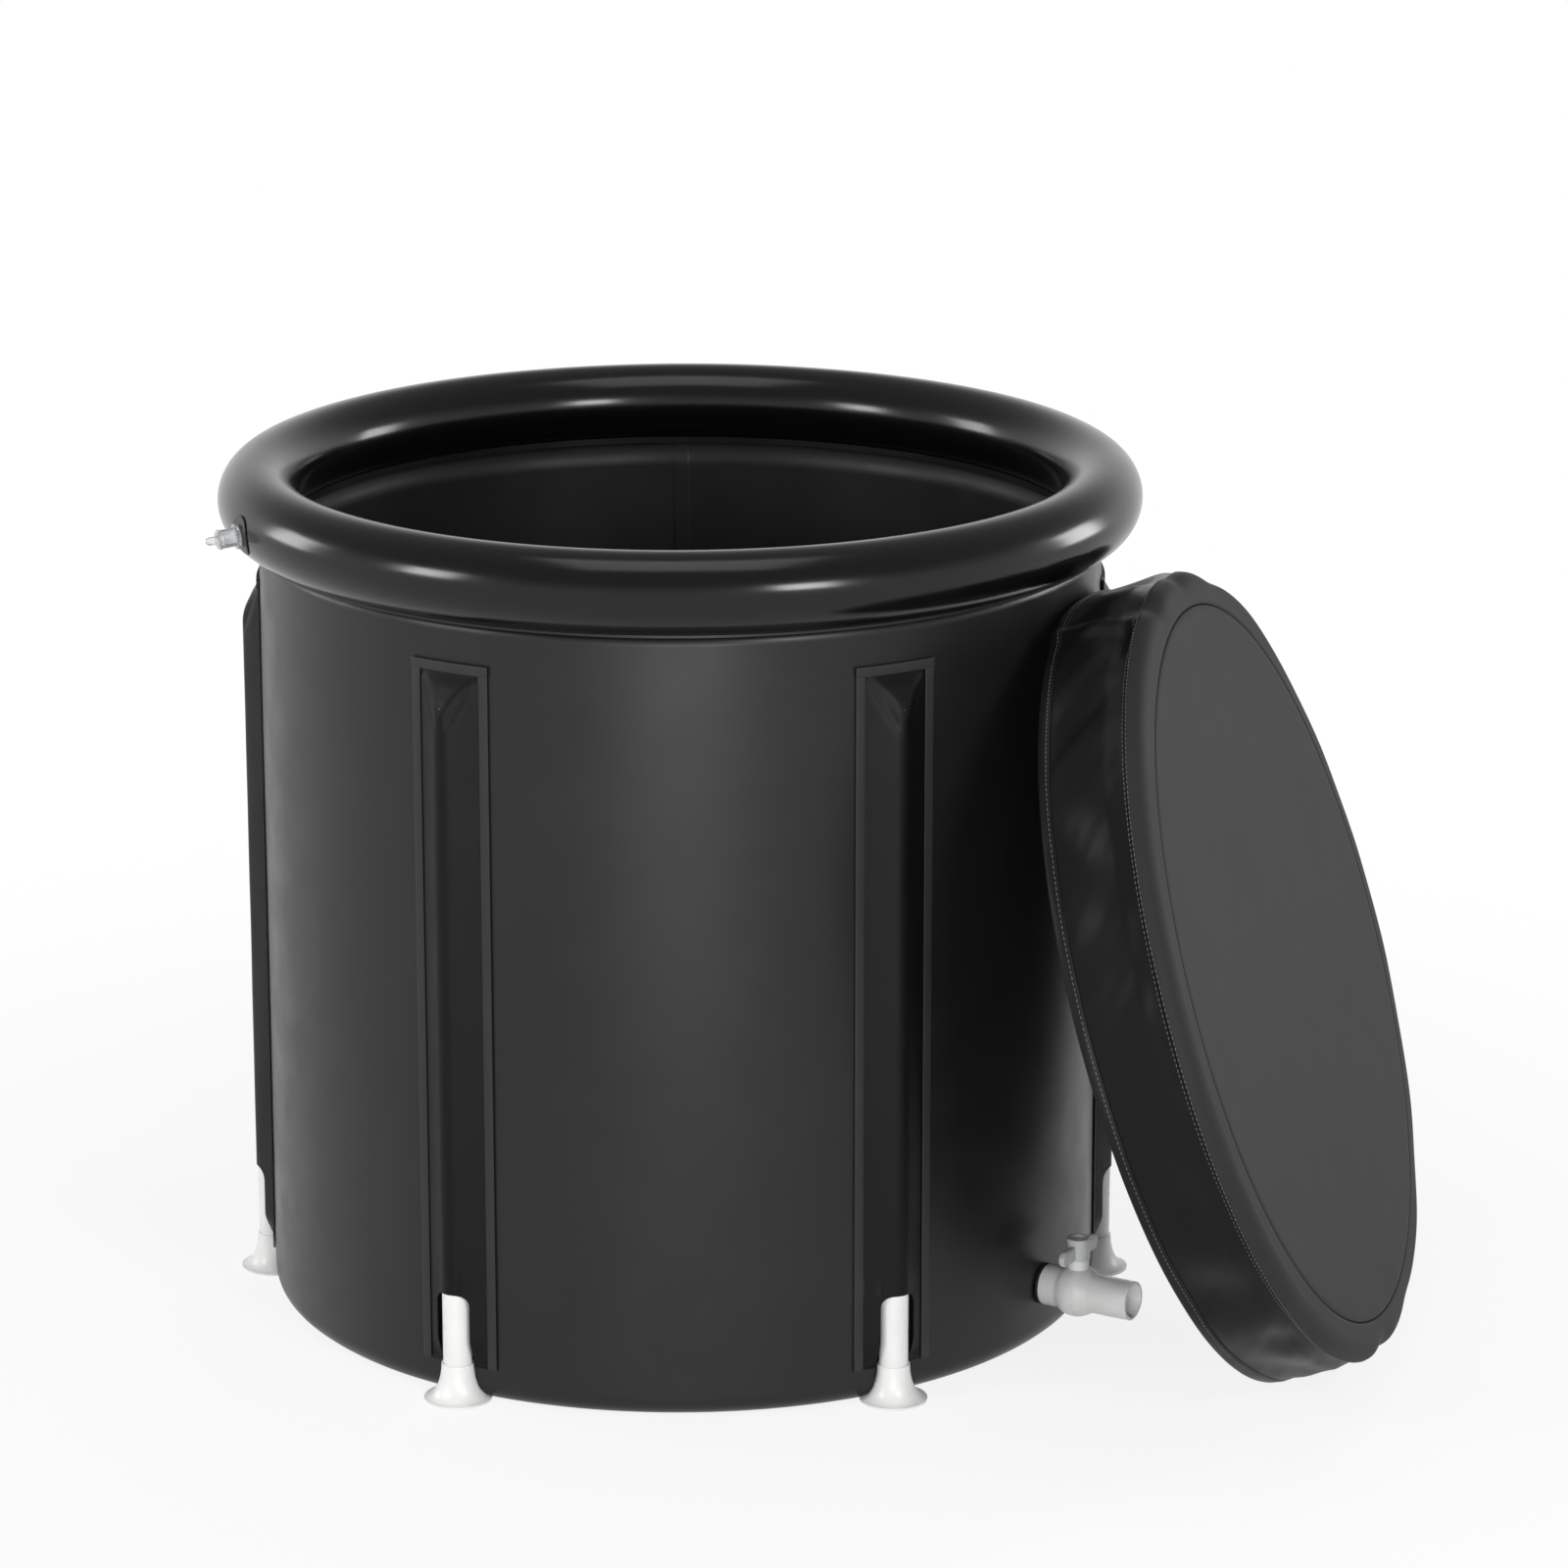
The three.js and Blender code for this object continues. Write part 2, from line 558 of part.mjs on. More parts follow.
// Where the sphere of the housing meets a coaxial cylinder, as an angle from the pipe's axis
const sphereAngle = (radius) => Math.asin(radius / SPHERE_R) / RAD;
const sphereArc = (from, to, steps) =>
  arc(0, 0, SPHERE_R, SPHERE_R, from, to, steps).map(([x, r]) => [r, BALL_X + x]);
const splitAngle = (offset) => Math.acos(offset / SPHERE_R) / RAD;

const stemBore = () => rod(STEM_R + GAP, 0, NECK_TOP + SKIN, VALVE_FACETS).translate(BALL_X, 0, 0);
const stemFlangeRoom = () =>
  rod(STEM_FLANGE_R + GAP, 0, STEM_FLANGE_Z + STEM_FLANGE_HEIGHT + GAP, VALVE_FACETS).translate(BALL_X, 0, 0);
const sealRoom = () =>
  rod(STEM_R + 2 * GAP + STEM_SEAL, NECK_TOP - STEM_SEAL - GAP, NECK_TOP + SKIN, VALVE_FACETS)
    .translate(BALL_X, 0, 0);

function valveBody() {
  const shell = turnedAlongX([
    [0, SOCKET_X], [SOCKET_R, SOCKET_X],
    ...sphereArc(180 - sphereAngle(SOCKET_R), splitAngle(VALVE_SPLIT), SPHERE_STEPS),
    [0, BALL_X + VALVE_SPLIT],
  ], VALVE_FACETS);
  const room = turnedAlongX([
    [0, SOCKET_X - SKIN], [DRAIN_TUBE_R + GAP, SOCKET_X - SKIN], [DRAIN_TUBE_R + GAP, SOCKET_STOP],
    [DRAIN_BORE_R, SOCKET_STOP], [DRAIN_BORE_R, BALL_X - SEAT_BACK - GAP],
    [SEAT_POCKET_R, BALL_X - SEAT_BACK - GAP], [SEAT_POCKET_R, BALL_X - VALVE_SPLIT],
    [CHAMBER_R, BALL_X - VALVE_SPLIT], [CHAMBER_R, BALL_X + VALVE_SPLIT + SKIN],
    [0, BALL_X + VALVE_SPLIT + SKIN],
  ], VALVE_FACETS);
  const neck = rod(NECK_DIAMETER / 2, 0, NECK_TOP, VALVE_FACETS).translate(BALL_X, 0, 0);
  return cut(join(shell, neck), room, stemBore(), stemFlangeRoom(), sealRoom());
}

// The outlet closes the ball's chamber and ends in a plain hose spigot.
function valveOutlet() {
  const from = VALVE_SPLIT + GAP;
  const end = BALL_X + SPIGOT_REACH;
  const shoulder = BALL_X + SPHERE_R;
  const shell = turnedAlongX([
    [SEAT_POCKET_R, BALL_X + from],
    ...sphereArc(splitAngle(from), sphereAngle(SPIGOT_R), OUTLET_STEPS),
    [SPIGOT_R, end], [SPIGOT_BORE_R, end], [SPIGOT_BORE_R, shoulder], [DRAIN_BORE_R, shoulder],
    [DRAIN_BORE_R, BALL_X + SEAT_BACK + GAP], [SEAT_POCKET_R, BALL_X + SEAT_BACK + GAP],
  ], VALVE_FACETS);
  const neckRoom = rod(NECK_DIAMETER / 2 + GAP, 0, NECK_TOP, VALVE_FACETS).translate(BALL_X, 0, 0);
  return cut(shell, neckRoom);
}

// A seat ring follows the ball, one on each side of it.
function valveSeat(side) {
  const touch = (radius) => Math.sqrt((BALL_R + GAP) ** 2 - radius ** 2) + GAP / 2;
  const middle = DRAIN_BORE_R + SEAT_WIDTH / 2;
  const profile = [
    [DRAIN_BORE_R, SEAT_BACK], [SEAT_R, SEAT_BACK], [SEAT_R, touch(SEAT_R)],
    [middle, touch(middle)], [DRAIN_BORE_R, touch(DRAIN_BORE_R)],
  ];
  const placed = profile.map(([r, x]) => [r, BALL_X + side * x]);
  return turnedAlongX(placed, VALVE_FACETS);
}

// The ball is closed at rest, so its bore lies across the pipe.
function valveBall() {
  const ball = new THREE.SphereGeometry(BALL_R, VALVE_FACETS, VALVE_FACETS / 2);
  const bore = rod(DRAIN_BORE_R, -2 * BALL_R, 2 * BALL_R, VALVE_FACETS).rotateX(Math.PI / 2);
  const half = [STEM_TONGUE_WIDTH / 2 + GAP, STEM_TONGUE_LENGTH / 2 + GAP];
  const slot = box([-half[0], -half[1], BALL_R - STEM_TONGUE_DEPTH], [half[0], half[1], 2 * BALL_R]);
  return cut(ball.rotateX(Math.PI / 2), bore, slot).translate(BALL_X, 0, 0);
}

function valveStem() {
  const top = HUB_Z + HUB_HEIGHT - HUB_ROOF - GAP;
  const shaft = turned([
    [0, STEM_FLANGE_Z], [STEM_FLANGE_R, STEM_FLANGE_Z], [STEM_FLANGE_R, STEM_FLANGE_Z + STEM_FLANGE_HEIGHT],
    [STEM_R, STEM_FLANGE_Z + STEM_FLANGE_HEIGHT], [STEM_R, top], [0, top],
  ], VALVE_FACETS);
  const half = [STEM_TONGUE_WIDTH / 2, STEM_TONGUE_LENGTH / 2];
  const tongueTop = STEM_FLANGE_Z + STEM_FLANGE_HEIGHT / 2;
  const tongueBottom = BALL_R - STEM_TONGUE_DEPTH + GAP;
  const tongue = box([-half[0], -half[1], tongueBottom], [half[0], half[1], tongueTop]);
  return join(shaft, tongue).translate(BALL_X, 0, 0);
}

function stemSeal() {
  const radius = STEM_SEAL / 2;
  const middle = STEM_R + GAP + radius;
  const last = 360 - 360 / SEAL_FACETS;
  const section = arc(middle, NECK_TOP - radius, radius, radius, 0, last, SEAL_FACETS - 1);
  return turned(section, VALVE_FACETS).translate(BALL_X, 0, 0);
}

// The handle is a round hub with two chamfered wings, across the pipe when the valve is shut.
function valveHandle() {
  const hub = rod(HUB_DIAMETER / 2, HUB_Z, HUB_Z + HUB_HEIGHT, VALVE_FACETS);
  const top = HUB_Z + WING_HEIGHT;
  const shape = new THREE.Shape();
  shape.moveTo(-WING_REACH, HUB_Z + WING_CHAMFER);
  shape.lineTo(WING_CHAMFER - WING_REACH, HUB_Z);
  shape.lineTo(WING_REACH - WING_CHAMFER, HUB_Z);
  shape.lineTo(WING_REACH, HUB_Z + WING_CHAMFER);
  shape.lineTo(WING_REACH, top - WING_CHAMFER);
  shape.lineTo(WING_REACH - WING_CHAMFER, top);
  shape.lineTo(WING_CHAMFER - WING_REACH, top);
  shape.lineTo(-WING_REACH, top - WING_CHAMFER);
  const wings = prismAlongX(shape, -WING_THICKNESS / 2, WING_THICKNESS / 2);
  const socket = rod(STEM_R + GAP, 0, HUB_Z + HUB_HEIGHT - HUB_ROOF, VALVE_FACETS);
  return cut(join(hub, wings), socket).translate(BALL_X, 0, 0);
}

const drain = grouped(
  piece('drain_bulkhead', drainBulkhead(), whitePvc()),
  piece('drain_inner_gasket', washer(DRAIN_FLANGE_R, innerGasketX), rubber()),
  piece('drain_outer_gasket', washer(SOCKET_R, WALL_R + GAP), rubber()),
  piece('drain_valve_body', valveBody(), whitePvc()),
  piece('drain_valve_outlet', valveOutlet(), whitePvc()),
  piece('drain_ball', valveBall(), seatPlastic()),
  piece('drain_seat_inlet', valveSeat(-1), seatPlastic()),
  piece('drain_seat_outlet', valveSeat(1), seatPlastic()),
  piece('drain_stem', valveStem(), seatPlastic()),
  piece('drain_stem_seal', stemSeal(), rubber()),
  piece('drain_handle', valveHandle(), clearGrey()),
);
drain.position.z = DRAIN_HEIGHT;
drain.rotation.z = DRAIN_BEARING * RAD;

// Air valve, drawn with Z out of the ring from the centre of its tube
function airPatch() {
  const under = ringSolid(RING_TUBE_R + GAP, RING_SECTION_FACETS);
  const over = ringSolid(RING_TUBE_R + GAP + AIR_PATCH_THICKNESS, RING_SECTION_FACETS);
  const disc = hollowRod(AIR_STEM_R + GAP, AIR_PATCH_DIAMETER / 2, 0, RING_TUBE_R * 2, PRESS_FACETS);
  return cut(common(over, inAirFrame(disc)), under);
}

function airStem() {
  const profile = [
    [AIR_BORE_R, RING_TUBE_R - AIR_STEM_DEPTH], [AIR_STEM_R, RING_TUBE_R - AIR_STEM_DEPTH],
    [AIR_STEM_R, AIR_COLLAR_Z], [AIR_COLLAR_DIAMETER / 2, AIR_COLLAR_Z],
    [AIR_COLLAR_DIAMETER / 2, AIR_COLLAR_Z + AIR_COLLAR_HEIGHT],
    [AIR_STEM_R, AIR_COLLAR_Z + AIR_COLLAR_HEIGHT],
    [AIR_STEM_R, AIR_STEM_TOP], [AIR_BORE_R, AIR_STEM_TOP],
  ];
  return turned(profile, PRESS_FACETS);
}

function airPlug() {
  const seat = AIR_STEM_TOP + GAP;
  const head = seat + PLUG_HEAD_HEIGHT;
  const body = turned([
    [0, seat - PLUG_DEPTH], [AIR_BORE_R - GAP, seat - PLUG_DEPTH], [AIR_BORE_R - GAP, seat],
    [PLUG_HEAD_DIAMETER / 2, seat], [PLUG_HEAD_DIAMETER / 2, head], [0, head],
  ], PRESS_FACETS);
  const half = [PLUG_TAB_THICKNESS / 2, PLUG_TAB_WIDTH / 2];
  const straight = head + PLUG_TAB_HEIGHT - half[1];
  const tab = new THREE.Shape();
  tab.moveTo(-half[1], seat + GAP);
  tab.lineTo(half[1], seat + GAP);
  tab.absarc(0, straight, half[1], 0, Math.PI);
  return join(body, prismAlongX(tab, -half[0], half[0]));
}

const airValve = grouped(
  piece('air_valve_stem', airStem(), clearVinyl()),
  piece('air_valve_plug', airPlug(), clearVinyl()),
);
airValve.position.copy(airCentre);
airValve.quaternion.copy(airTurn);

// Lid, drawn with Z out of its top face and its hem at zero. Its skirt leans a little from the seam to the hem.
const skirtR = (w) => LID_HEM_R + ((LID_SEAM_R - LID_HEM_R) * w) / LID_SEAM_W;
const insideSkirt = (w) => skirtR(w) - LID_SHEET - GAP;

const shoulderArc = (inset, from, to) =>
  arc(LID_PANEL_R, LID_SEAM_W, LID_SEAM_R - LID_PANEL_R - inset, LID_SHOULDER_DROP - inset, from, to,
    SHOULDER_STEPS);

const lidShoulder = () =>
  turned([...shoulderArc(0, 90, 0), ...shoulderArc(LID_SHEET, 0, 90)], ROUND_FACETS);

function lidFoam() {
  const rounded = shoulderArc(LID_SHEET + GAP, 0, 90);
  const edge = insideSkirt(LID_FOAM_BOTTOM);
  const profile = [[0, LID_FOAM_BOTTOM], [edge, LID_FOAM_BOTTOM], ...rounded, [0, LID_FOAM_TOP]];
  return turned(profile, ROUND_FACETS);
}

function lidSkirt() {
  const top = LID_SEAM_W - GAP;
  const bottom = LID_HEM_WIDTH + GAP;
  const profile = [
    [skirtR(bottom) - LID_SHEET, bottom], [skirtR(bottom), bottom],
    [skirtR(top), top], [skirtR(top) - LID_SHEET, top],
  ];
  return turned(profile, ROUND_FACETS);
}

const lidDisc = (radius, bottom, top) => rod(radius, bottom, top, ROUND_FACETS);
const lidHem = () => hollowRod(LID_HEM_R - LID_HEM_THICKNESS, LID_HEM_R, 0, LID_HEM_WIDTH, ROUND_FACETS);
const liningTop = LID_FOAM_BOTTOM - GAP;
const liningBottom = liningTop - LID_LINING;
const liningR = Math.min(insideSkirt(liningTop), insideSkirt(liningBottom));

const lid = grouped(
  piece('lid_top_panel', lidDisc(LID_PANEL_R - GAP, LID_DEPTH - LID_SHEET, LID_DEPTH), lidVinyl()),
  piece('lid_shoulder', lidShoulder(), lidVinyl()),
  piece('lid_foam', lidFoam(), foam()),
  piece('lid_lining', lidDisc(liningR, liningBottom, liningTop), lidVinyl()),
  piece('lid_skirt', lidSkirt(), lidVinyl()),
  piece('lid_hem', lidHem(), lidVinyl()),
);

const lidOut = new THREE.Vector3(
  Math.cos(LID_LEAN * RAD) * Math.cos(LID_FACING * RAD),
  Math.cos(LID_LEAN * RAD) * Math.sin(LID_FACING * RAD),
  Math.sin(LID_LEAN * RAD),
);
const lidAcross = new THREE.Vector3(-Math.sin(LID_FACING * RAD), Math.cos(LID_FACING * RAD), 0);
const lidUp = new THREE.Vector3().crossVectors(lidOut, lidAcross);

// How far out the flat facets of a round piece lie, at an angle from one of its corners
function facetR(radius, angle) {
  const half = Math.PI / ROUND_FACETS;
  const fromCorner = angle - 2 * half * Math.floor(angle / (2 * half));
  return (radius * Math.cos(half)) / Math.cos(fromCorner - half);
}

// How far a point outside the tub is from its wall, its sleeves and its ring
function tubClearance(point) {
  const radius = Math.hypot(point.x, point.y);
  const bearing = Math.atan2(point.y, point.x);
  const side = Math.min(...legAngles.map((angle) => Math.acos(Math.cos(bearing - angle)))) * WALL_R;
  const sleeve = side > SLEEVE_HALF ? 0 : Math.max(tentRise(side), SHEET_LIFT + GAP + BAND_THICKNESS);
  const wall = radius - facetR(WALL_R, bearing - Math.PI / ROUND_FACETS) - sleeve;
  const ring = Math.hypot(radius - RING_R, point.z - RING_Z) - RING_TUBE_R;
  return Math.min(wall, ring);
}

// The lid stands on its hem, and leans on the tub by the point of the hem that comes nearest.
function lidPlace() {
  const height = LID_HEM_R * Math.cos(LID_LEAN * RAD);
  const placed = (distance) => new THREE.Vector3(
    distance * Math.cos(LID_BEARING * RAD), distance * Math.sin(LID_BEARING * RAD), height);
  const clearance = (distance) => {
    const centre = placed(distance);
    const hem = Array.from({ length: HEM_SAMPLES }, (_, i) => (2 * Math.PI * i) / HEM_SAMPLES)
      .map((angle) => centre.clone()
        .addScaledVector(lidAcross, facetR(LID_HEM_R, angle) * Math.cos(angle))
        .addScaledVector(lidUp, facetR(LID_HEM_R, angle) * Math.sin(angle)));
    return Math.min(...hem.map(tubClearance));
  };
  let near = WALL_R;
  let far = 2 * (RING_R + RING_TUBE_R + LID_HEM_R);
  while (far - near > LEAN_TOLERANCE) {
    const middle = (near + far) / 2;
    if (clearance(middle) < GAP) near = middle;
    else far = middle;
  }
  return placed(far);
}

lid.position.copy(lidPlace());
lid.quaternion.setFromRotationMatrix(new THREE.Matrix4().makeBasis(lidAcross, lidUp, lidOut));

const plungeTub = grouped(tub, legs, drain, airValve, piece('air_valve_patch', airPatch(), wallVinyl()), lid);

export default plungeTub;
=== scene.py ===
import json
import math

import bmesh
import bpy
from mathutils import Matrix, Vector, noise


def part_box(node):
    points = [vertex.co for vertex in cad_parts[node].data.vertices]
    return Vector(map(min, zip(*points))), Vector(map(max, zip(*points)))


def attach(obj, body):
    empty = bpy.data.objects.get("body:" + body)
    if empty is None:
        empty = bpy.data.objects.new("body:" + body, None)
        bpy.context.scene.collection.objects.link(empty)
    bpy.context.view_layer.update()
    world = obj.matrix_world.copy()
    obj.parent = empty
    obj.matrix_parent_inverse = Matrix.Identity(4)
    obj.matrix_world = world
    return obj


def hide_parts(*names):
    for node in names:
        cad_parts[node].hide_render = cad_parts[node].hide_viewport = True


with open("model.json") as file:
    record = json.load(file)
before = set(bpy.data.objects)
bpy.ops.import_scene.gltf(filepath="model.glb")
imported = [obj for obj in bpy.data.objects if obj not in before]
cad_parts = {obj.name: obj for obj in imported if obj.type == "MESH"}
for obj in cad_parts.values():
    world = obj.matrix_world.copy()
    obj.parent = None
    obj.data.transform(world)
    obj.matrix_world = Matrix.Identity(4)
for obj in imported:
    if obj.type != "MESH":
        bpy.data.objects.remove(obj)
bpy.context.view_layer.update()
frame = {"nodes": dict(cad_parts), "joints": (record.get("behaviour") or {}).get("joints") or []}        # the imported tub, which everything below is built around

# Sizes read from the frame, in metres
MM = 0.001
RING_LOW, RING_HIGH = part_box("top_ring")
RING_TUBE_R = (RING_HIGH.z - RING_LOW.z) / 2
RING_R = RING_HIGH.x - RING_TUBE_R
RING_Z = RING_HIGH.z - RING_TUBE_R
WALL_R = RING_R
WALL_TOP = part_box("outer_wall")[1].z
BASE_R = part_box("base_skin")[1].y
LINER_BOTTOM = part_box("inner_liner")[0].z
TUBE_LOW, TUBE_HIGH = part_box("leg_tube_1")
LEG_R = (TUBE_LOW.x + TUBE_HIGH.x) / 2
LEG_TUBE_R = (TUBE_HIGH.x - TUBE_LOW.x) / 2
FOOT_LOW, FOOT_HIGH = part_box("leg_foot_1")
FOOT_R = (FOOT_HIGH.x - FOOT_LOW.x) / 2
FOOT_HEIGHT = FOOT_HIGH.z
SLEEVE_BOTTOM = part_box("leg_sleeve_1")[0].z
SLEEVE_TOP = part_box("leg_sleeve_1")[1].z
CAP_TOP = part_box("leg_cap_1")[1].z
JOINTS = {joint["name"]: joint for joint in frame["joints"]}
BALL_PLACE = Vector(JOINTS["drain_handle_turn"]["pos_m"])
AIR_AXIS = Vector(JOINTS["air_plug_pull"]["axis"]).normalized()

# Sizes of the soft shell
SKIN = 1.2 * MM
WALL_THICKNESS = 15 * MM
BASE_CORNER = 16 * MM
LINER_CORNER = 12 * MM
LEG_COUNT = 6
LEG_STEP = math.tau / LEG_COUNT
LEG_MARGIN = 0.6 * MM
DIP_TOP = CAP_TOP + 3 * MM
DIP_FADE = 7 * MM
FOOT_RIM = 2 * MM
COLLAR_R = LEG_TUBE_R + 1.5 * MM
SEAM_ANGLE = math.pi / 2
SEAM_WIDTH = 14 * MM
SEAM_RISE = 0.8 * MM
SEAM_EDGE = 1.2 * MM
WELD_BEFORE = 0.002
WELD_AFTER = 0.006
WALL_WAVE = 0.5 * MM
WALL_MERGE = 0.25 * MM
DIP_EASE = 2 * MM
FOOT_CLEAR = 4 * MM
LEG_NEAR = math.radians(7)
RING_WAVE = 0.004
STRIP_R = RING_TUBE_R + 0.3 * MM
STRIP_START = math.radians(-75)
STRIP_END = math.radians(-120)
LINER_SKIN = 0.9 * SKIN
LINER_MIDDLE = 0.5 * MM
LINER_RISE = 40 * MM
LINER_WAVE = 0.9 * MM
LINER_BAND_IN = 12 * MM
LINER_BAND_WIDTH = 7 * MM
LINER_BAND_RISE = 0.5 * MM
BASE_GAP = 0.4 * MM
BASE_EDGE = 0.3 * MM

# Sizes of the legs and their sleeves
SLEEVE_HALF = 36.7 * MM
BAND_WIDTH = 8.3 * MM
BAND_THICKNESS = 0.8 * MM
SHEET_LIFT = 1.3 * MM
SHEET_THICKNESS = 1 * MM
FREE_HALF = SLEEVE_HALF - BAND_WIDTH
FREE_TOP = SLEEVE_TOP - BAND_WIDTH
SLOT_HALF = 16 * MM
SLOT_TOP = 97 * MM
SLOT_CORNER = 11 * MM
STAND_OFF = LEG_R - WALL_R
TENT_R = LEG_TUBE_R + SHEET_LIFT
SLEEVE_DRAW = 26 * MM
SLEEVE_WAVE = 0.4 * MM
BAND_GAP = 0.3 * MM
BAND_EDGE = 0.25 * MM
TOP_BAND_LIFT = 0.7 * MM
TOP_BAND_OVER = 0.3 * MM
PIPE_THICKNESS = 2 * MM
PIPE_EDGE = 0.5 * MM
FOOT_FIT = 0.3 * MM
FOOT_FLOOR = 6 * MM

# Sizes of the drain valve
SOCKET_R = 18 * MM
SPHERE_R = 23 * MM
SPIGOT_R = 17 * MM
SPIGOT_BORE_R = 14 * MM
PIPE_BORE_R = 10 * MM
BULKHEAD_R = 12.5 * MM
NECK_R = 9.5 * MM
NECK_TOP = 29.5 * MM
HUB_R = 10.2 * MM
HUB_HEIGHT = 18.6 * MM
HUB_WELL_R = 6.4 * MM
HUB_WELL_DEPTH = 4 * MM
WING_HEIGHT = 13 * MM
WING_THICKNESS = 5 * MM
WING_CHAMFER = 4 * MM
WING_EDGE = 0.9 * MM
HUB_EDGE = 0.9 * MM
NECK_EDGE = 1 * MM
SOCKET_EDGE = 1.2 * MM
SPIGOT_LENGTH = 54 * MM
SPIGOT_STOP = 17 * MM
SPIGOT_EDGE = 0.6 * MM
SPLIT_GAP = 0.15 * MM
FLANGE_R = 22 * MM
FLANGE_THICKNESS = 4 * MM
FLANGE_EDGE = 1 * MM
BULKHEAD_FIT = 0.2 * MM
BULKHEAD_REACH = 6 * MM
GASKET_EDGE = 0.6 * MM

# Sizes of the air valve
AIR_STEM_R = 8 * MM
AIR_BORE_R = 5.5 * MM
AIR_STEM_REACH = 16 * MM
AIR_COLLAR_R = 11 * MM
AIR_PATCH_R = 19 * MM
PLUG_HEAD_R = 8.5 * MM
PLUG_HEAD_HEIGHT = 3.5 * MM
PLUG_TAB_WIDTH = 9 * MM
PLUG_TAB_HEIGHT = 10 * MM
PLUG_TAB_THICKNESS = 2 * MM
PLUG_GAP = 0.3 * MM
PLUG_LENGTH = 12 * MM
PLUG_TAPER = 2 * MM
AIR_STEM_ROOT = 5 * MM
AIR_STEM_EDGE = 0.7 * MM
AIR_COLLAR_RISE = 1.6 * MM
AIR_COLLAR_HEIGHT = 2.5 * MM
PATCH_GAP = 0.3 * MM
PATCH_RISE = 1.3 * MM
PATCH_FALL = 0.5 * MM
PATCH_SHEET = 0.9 * MM

# Sizes of the lid and the way it leans
LID_LEAN = math.radians(18.2)
LID_FACING = math.radians(-15.5)
LID_HEM_R = 345 * MM
LID_SEAM_R = 343.5 * MM
LID_PANEL_R = 312 * MM
LID_DEPTH = 90 * MM
LID_SEAM_W = 76 * MM
LID_HEM_WIDTH = 10 * MM
LID_SHEET = 1.5 * MM
LID_LINING_W = 61 * MM
LID_PAD_R = 334 * MM
LID_BORDER = 15 * MM
FOLD_IN = 5 * MM
FOLD_DOWN = 3.5 * MM
LEAN_GAP = 1.8 * MM
LEAN_EASE = 14 * MM
SEAM_TUCK = 3.2 * MM
SKIRT_BULGE = 2.2 * MM
SKIRT_CREASE = 2.6 * MM
SKIRT_FINE = 0.9 * MM
HEM_SWAY = 2.2 * MM
FLAP_AT = 104
FLAP_HALF = 0.05
FLAP_RISE = 4 * MM
BORDER_FALL = 0.6 * MM
SHOULDER_WAVE = 1.3 * MM
SHOULDER_LIFT = 1.1 * MM
PANEL_CROWN = 1.5 * MM
PANEL_WAVE = 0.7 * MM
LID_MIDDLE = 1 * MM
LINING_WAVE = 1.2 * MM
LINING_IN = 6 * MM
LINING_SHEET = 1 * MM
PAD_OVER_LINING = 3 * MM
PAD_UNDER_PANEL = 2.5 * MM
PAD_TAPER = 4 * MM
PAD_SIDE = 9 * MM
PAD_EDGE = 5 * MM
STITCH_PITCH = 4.6 * MM
STITCH_LENGTH = 2.9 * MM
STITCH_R = 0.33 * MM
STITCH_TO_SEAM = 3.5 * MM
STITCH_TO_HEM = 2.5 * MM
STITCH_LIFT = 0.1 * MM
HEM_STITCH_LIFT = 1 * MM

# Sizes of the studio
FLOOR_HALF = 20
FLOOR_Z = -0.3 * MM
FLOOR_NEAR = 0.6
FLOOR_FAR = 1.5
FLOOR_GLOW = 0.85
WORLD_FILL = 0.24
CEILING_LOW = 0.12
CEILING_HIGH = 0.6
CEILING_GLOW = 0.35
SENSOR = 36
LENS = 137.37
CAMERA_PLACE = (0.1236, -5.0589, 1.8918)
CAMERA_TILT = math.radians(74.101)
CAMERA_TURN = math.radians(0.385)

# Fineness of the meshes
MERGE = 1e-6
ROUND_STEPS = 240
TUBE_STEPS = 72
LEG_STEPS = 48
VALVE_STEPS = 64


def smooth_step(low, high, value):
    share = min(max((value - low) / (high - low), 0), 1)
    return share * share * (3 - 2 * share)


def smooth_min(a, b, width):
    share = min(max(0.5 + 0.5 * (b - a) / width, 0), 1)
    return b + (a - b) * share - width * share * (1 - share)


def bump_at(value, middle, width):
    return math.exp(-(((value - middle) / width) ** 2))


def spread(low, high, count):
    return [low + (high - low) * i / count for i in range(count + 1)]


def full_turn(steps):
    return [math.tau * i / steps for i in range(steps)]


def soft_noise(x, y, z):
    return noise.noise(Vector((x, y, z)))


def round_noise(scale, angle, z):
    return soft_noise(scale * math.cos(angle), scale * math.sin(angle), z)


# Mesh helpers
def new_object(name, verts, faces, material):
    mesh = bpy.data.meshes.new(name)
    mesh.from_pydata([tuple(v) for v in verts], [], faces)
    mesh.validate()
    mesh.shade_smooth()
    mesh.materials.append(material)
    piece = bpy.data.objects.new(name, mesh)
    bpy.context.scene.collection.objects.link(piece)
    return piece


def sharpen(piece, sharp=40):
    piece.data.set_sharp_from_angle(angle=math.radians(sharp))
    return piece


def face_out(piece, sharp=40):
    work = bmesh.new()
    work.from_mesh(piece.data)
    bmesh.ops.recalc_face_normals(work, faces=work.faces)
    work.to_mesh(piece.data)
    work.free()
    return sharpen(piece, sharp)


def grid_faces(rows, columns, close_rows=False, close_columns=False):
    faces = []
    for r in range(rows if close_rows else rows - 1):
        for c in range(columns if close_columns else columns - 1):
            right = (c + 1) % columns
            here, below = r * columns, (r + 1) % rows * columns
            faces.append((here + c, here + right, below + right, below + c))
    return faces


def surface(name, rows, columns, point, material, close_rows=False, close_columns=False):
    verts = [point(row, column) for row in rows for column in columns]
    faces = grid_faces(len(rows), len(columns), close_rows, close_columns)
    return new_object(name, verts, faces, material)


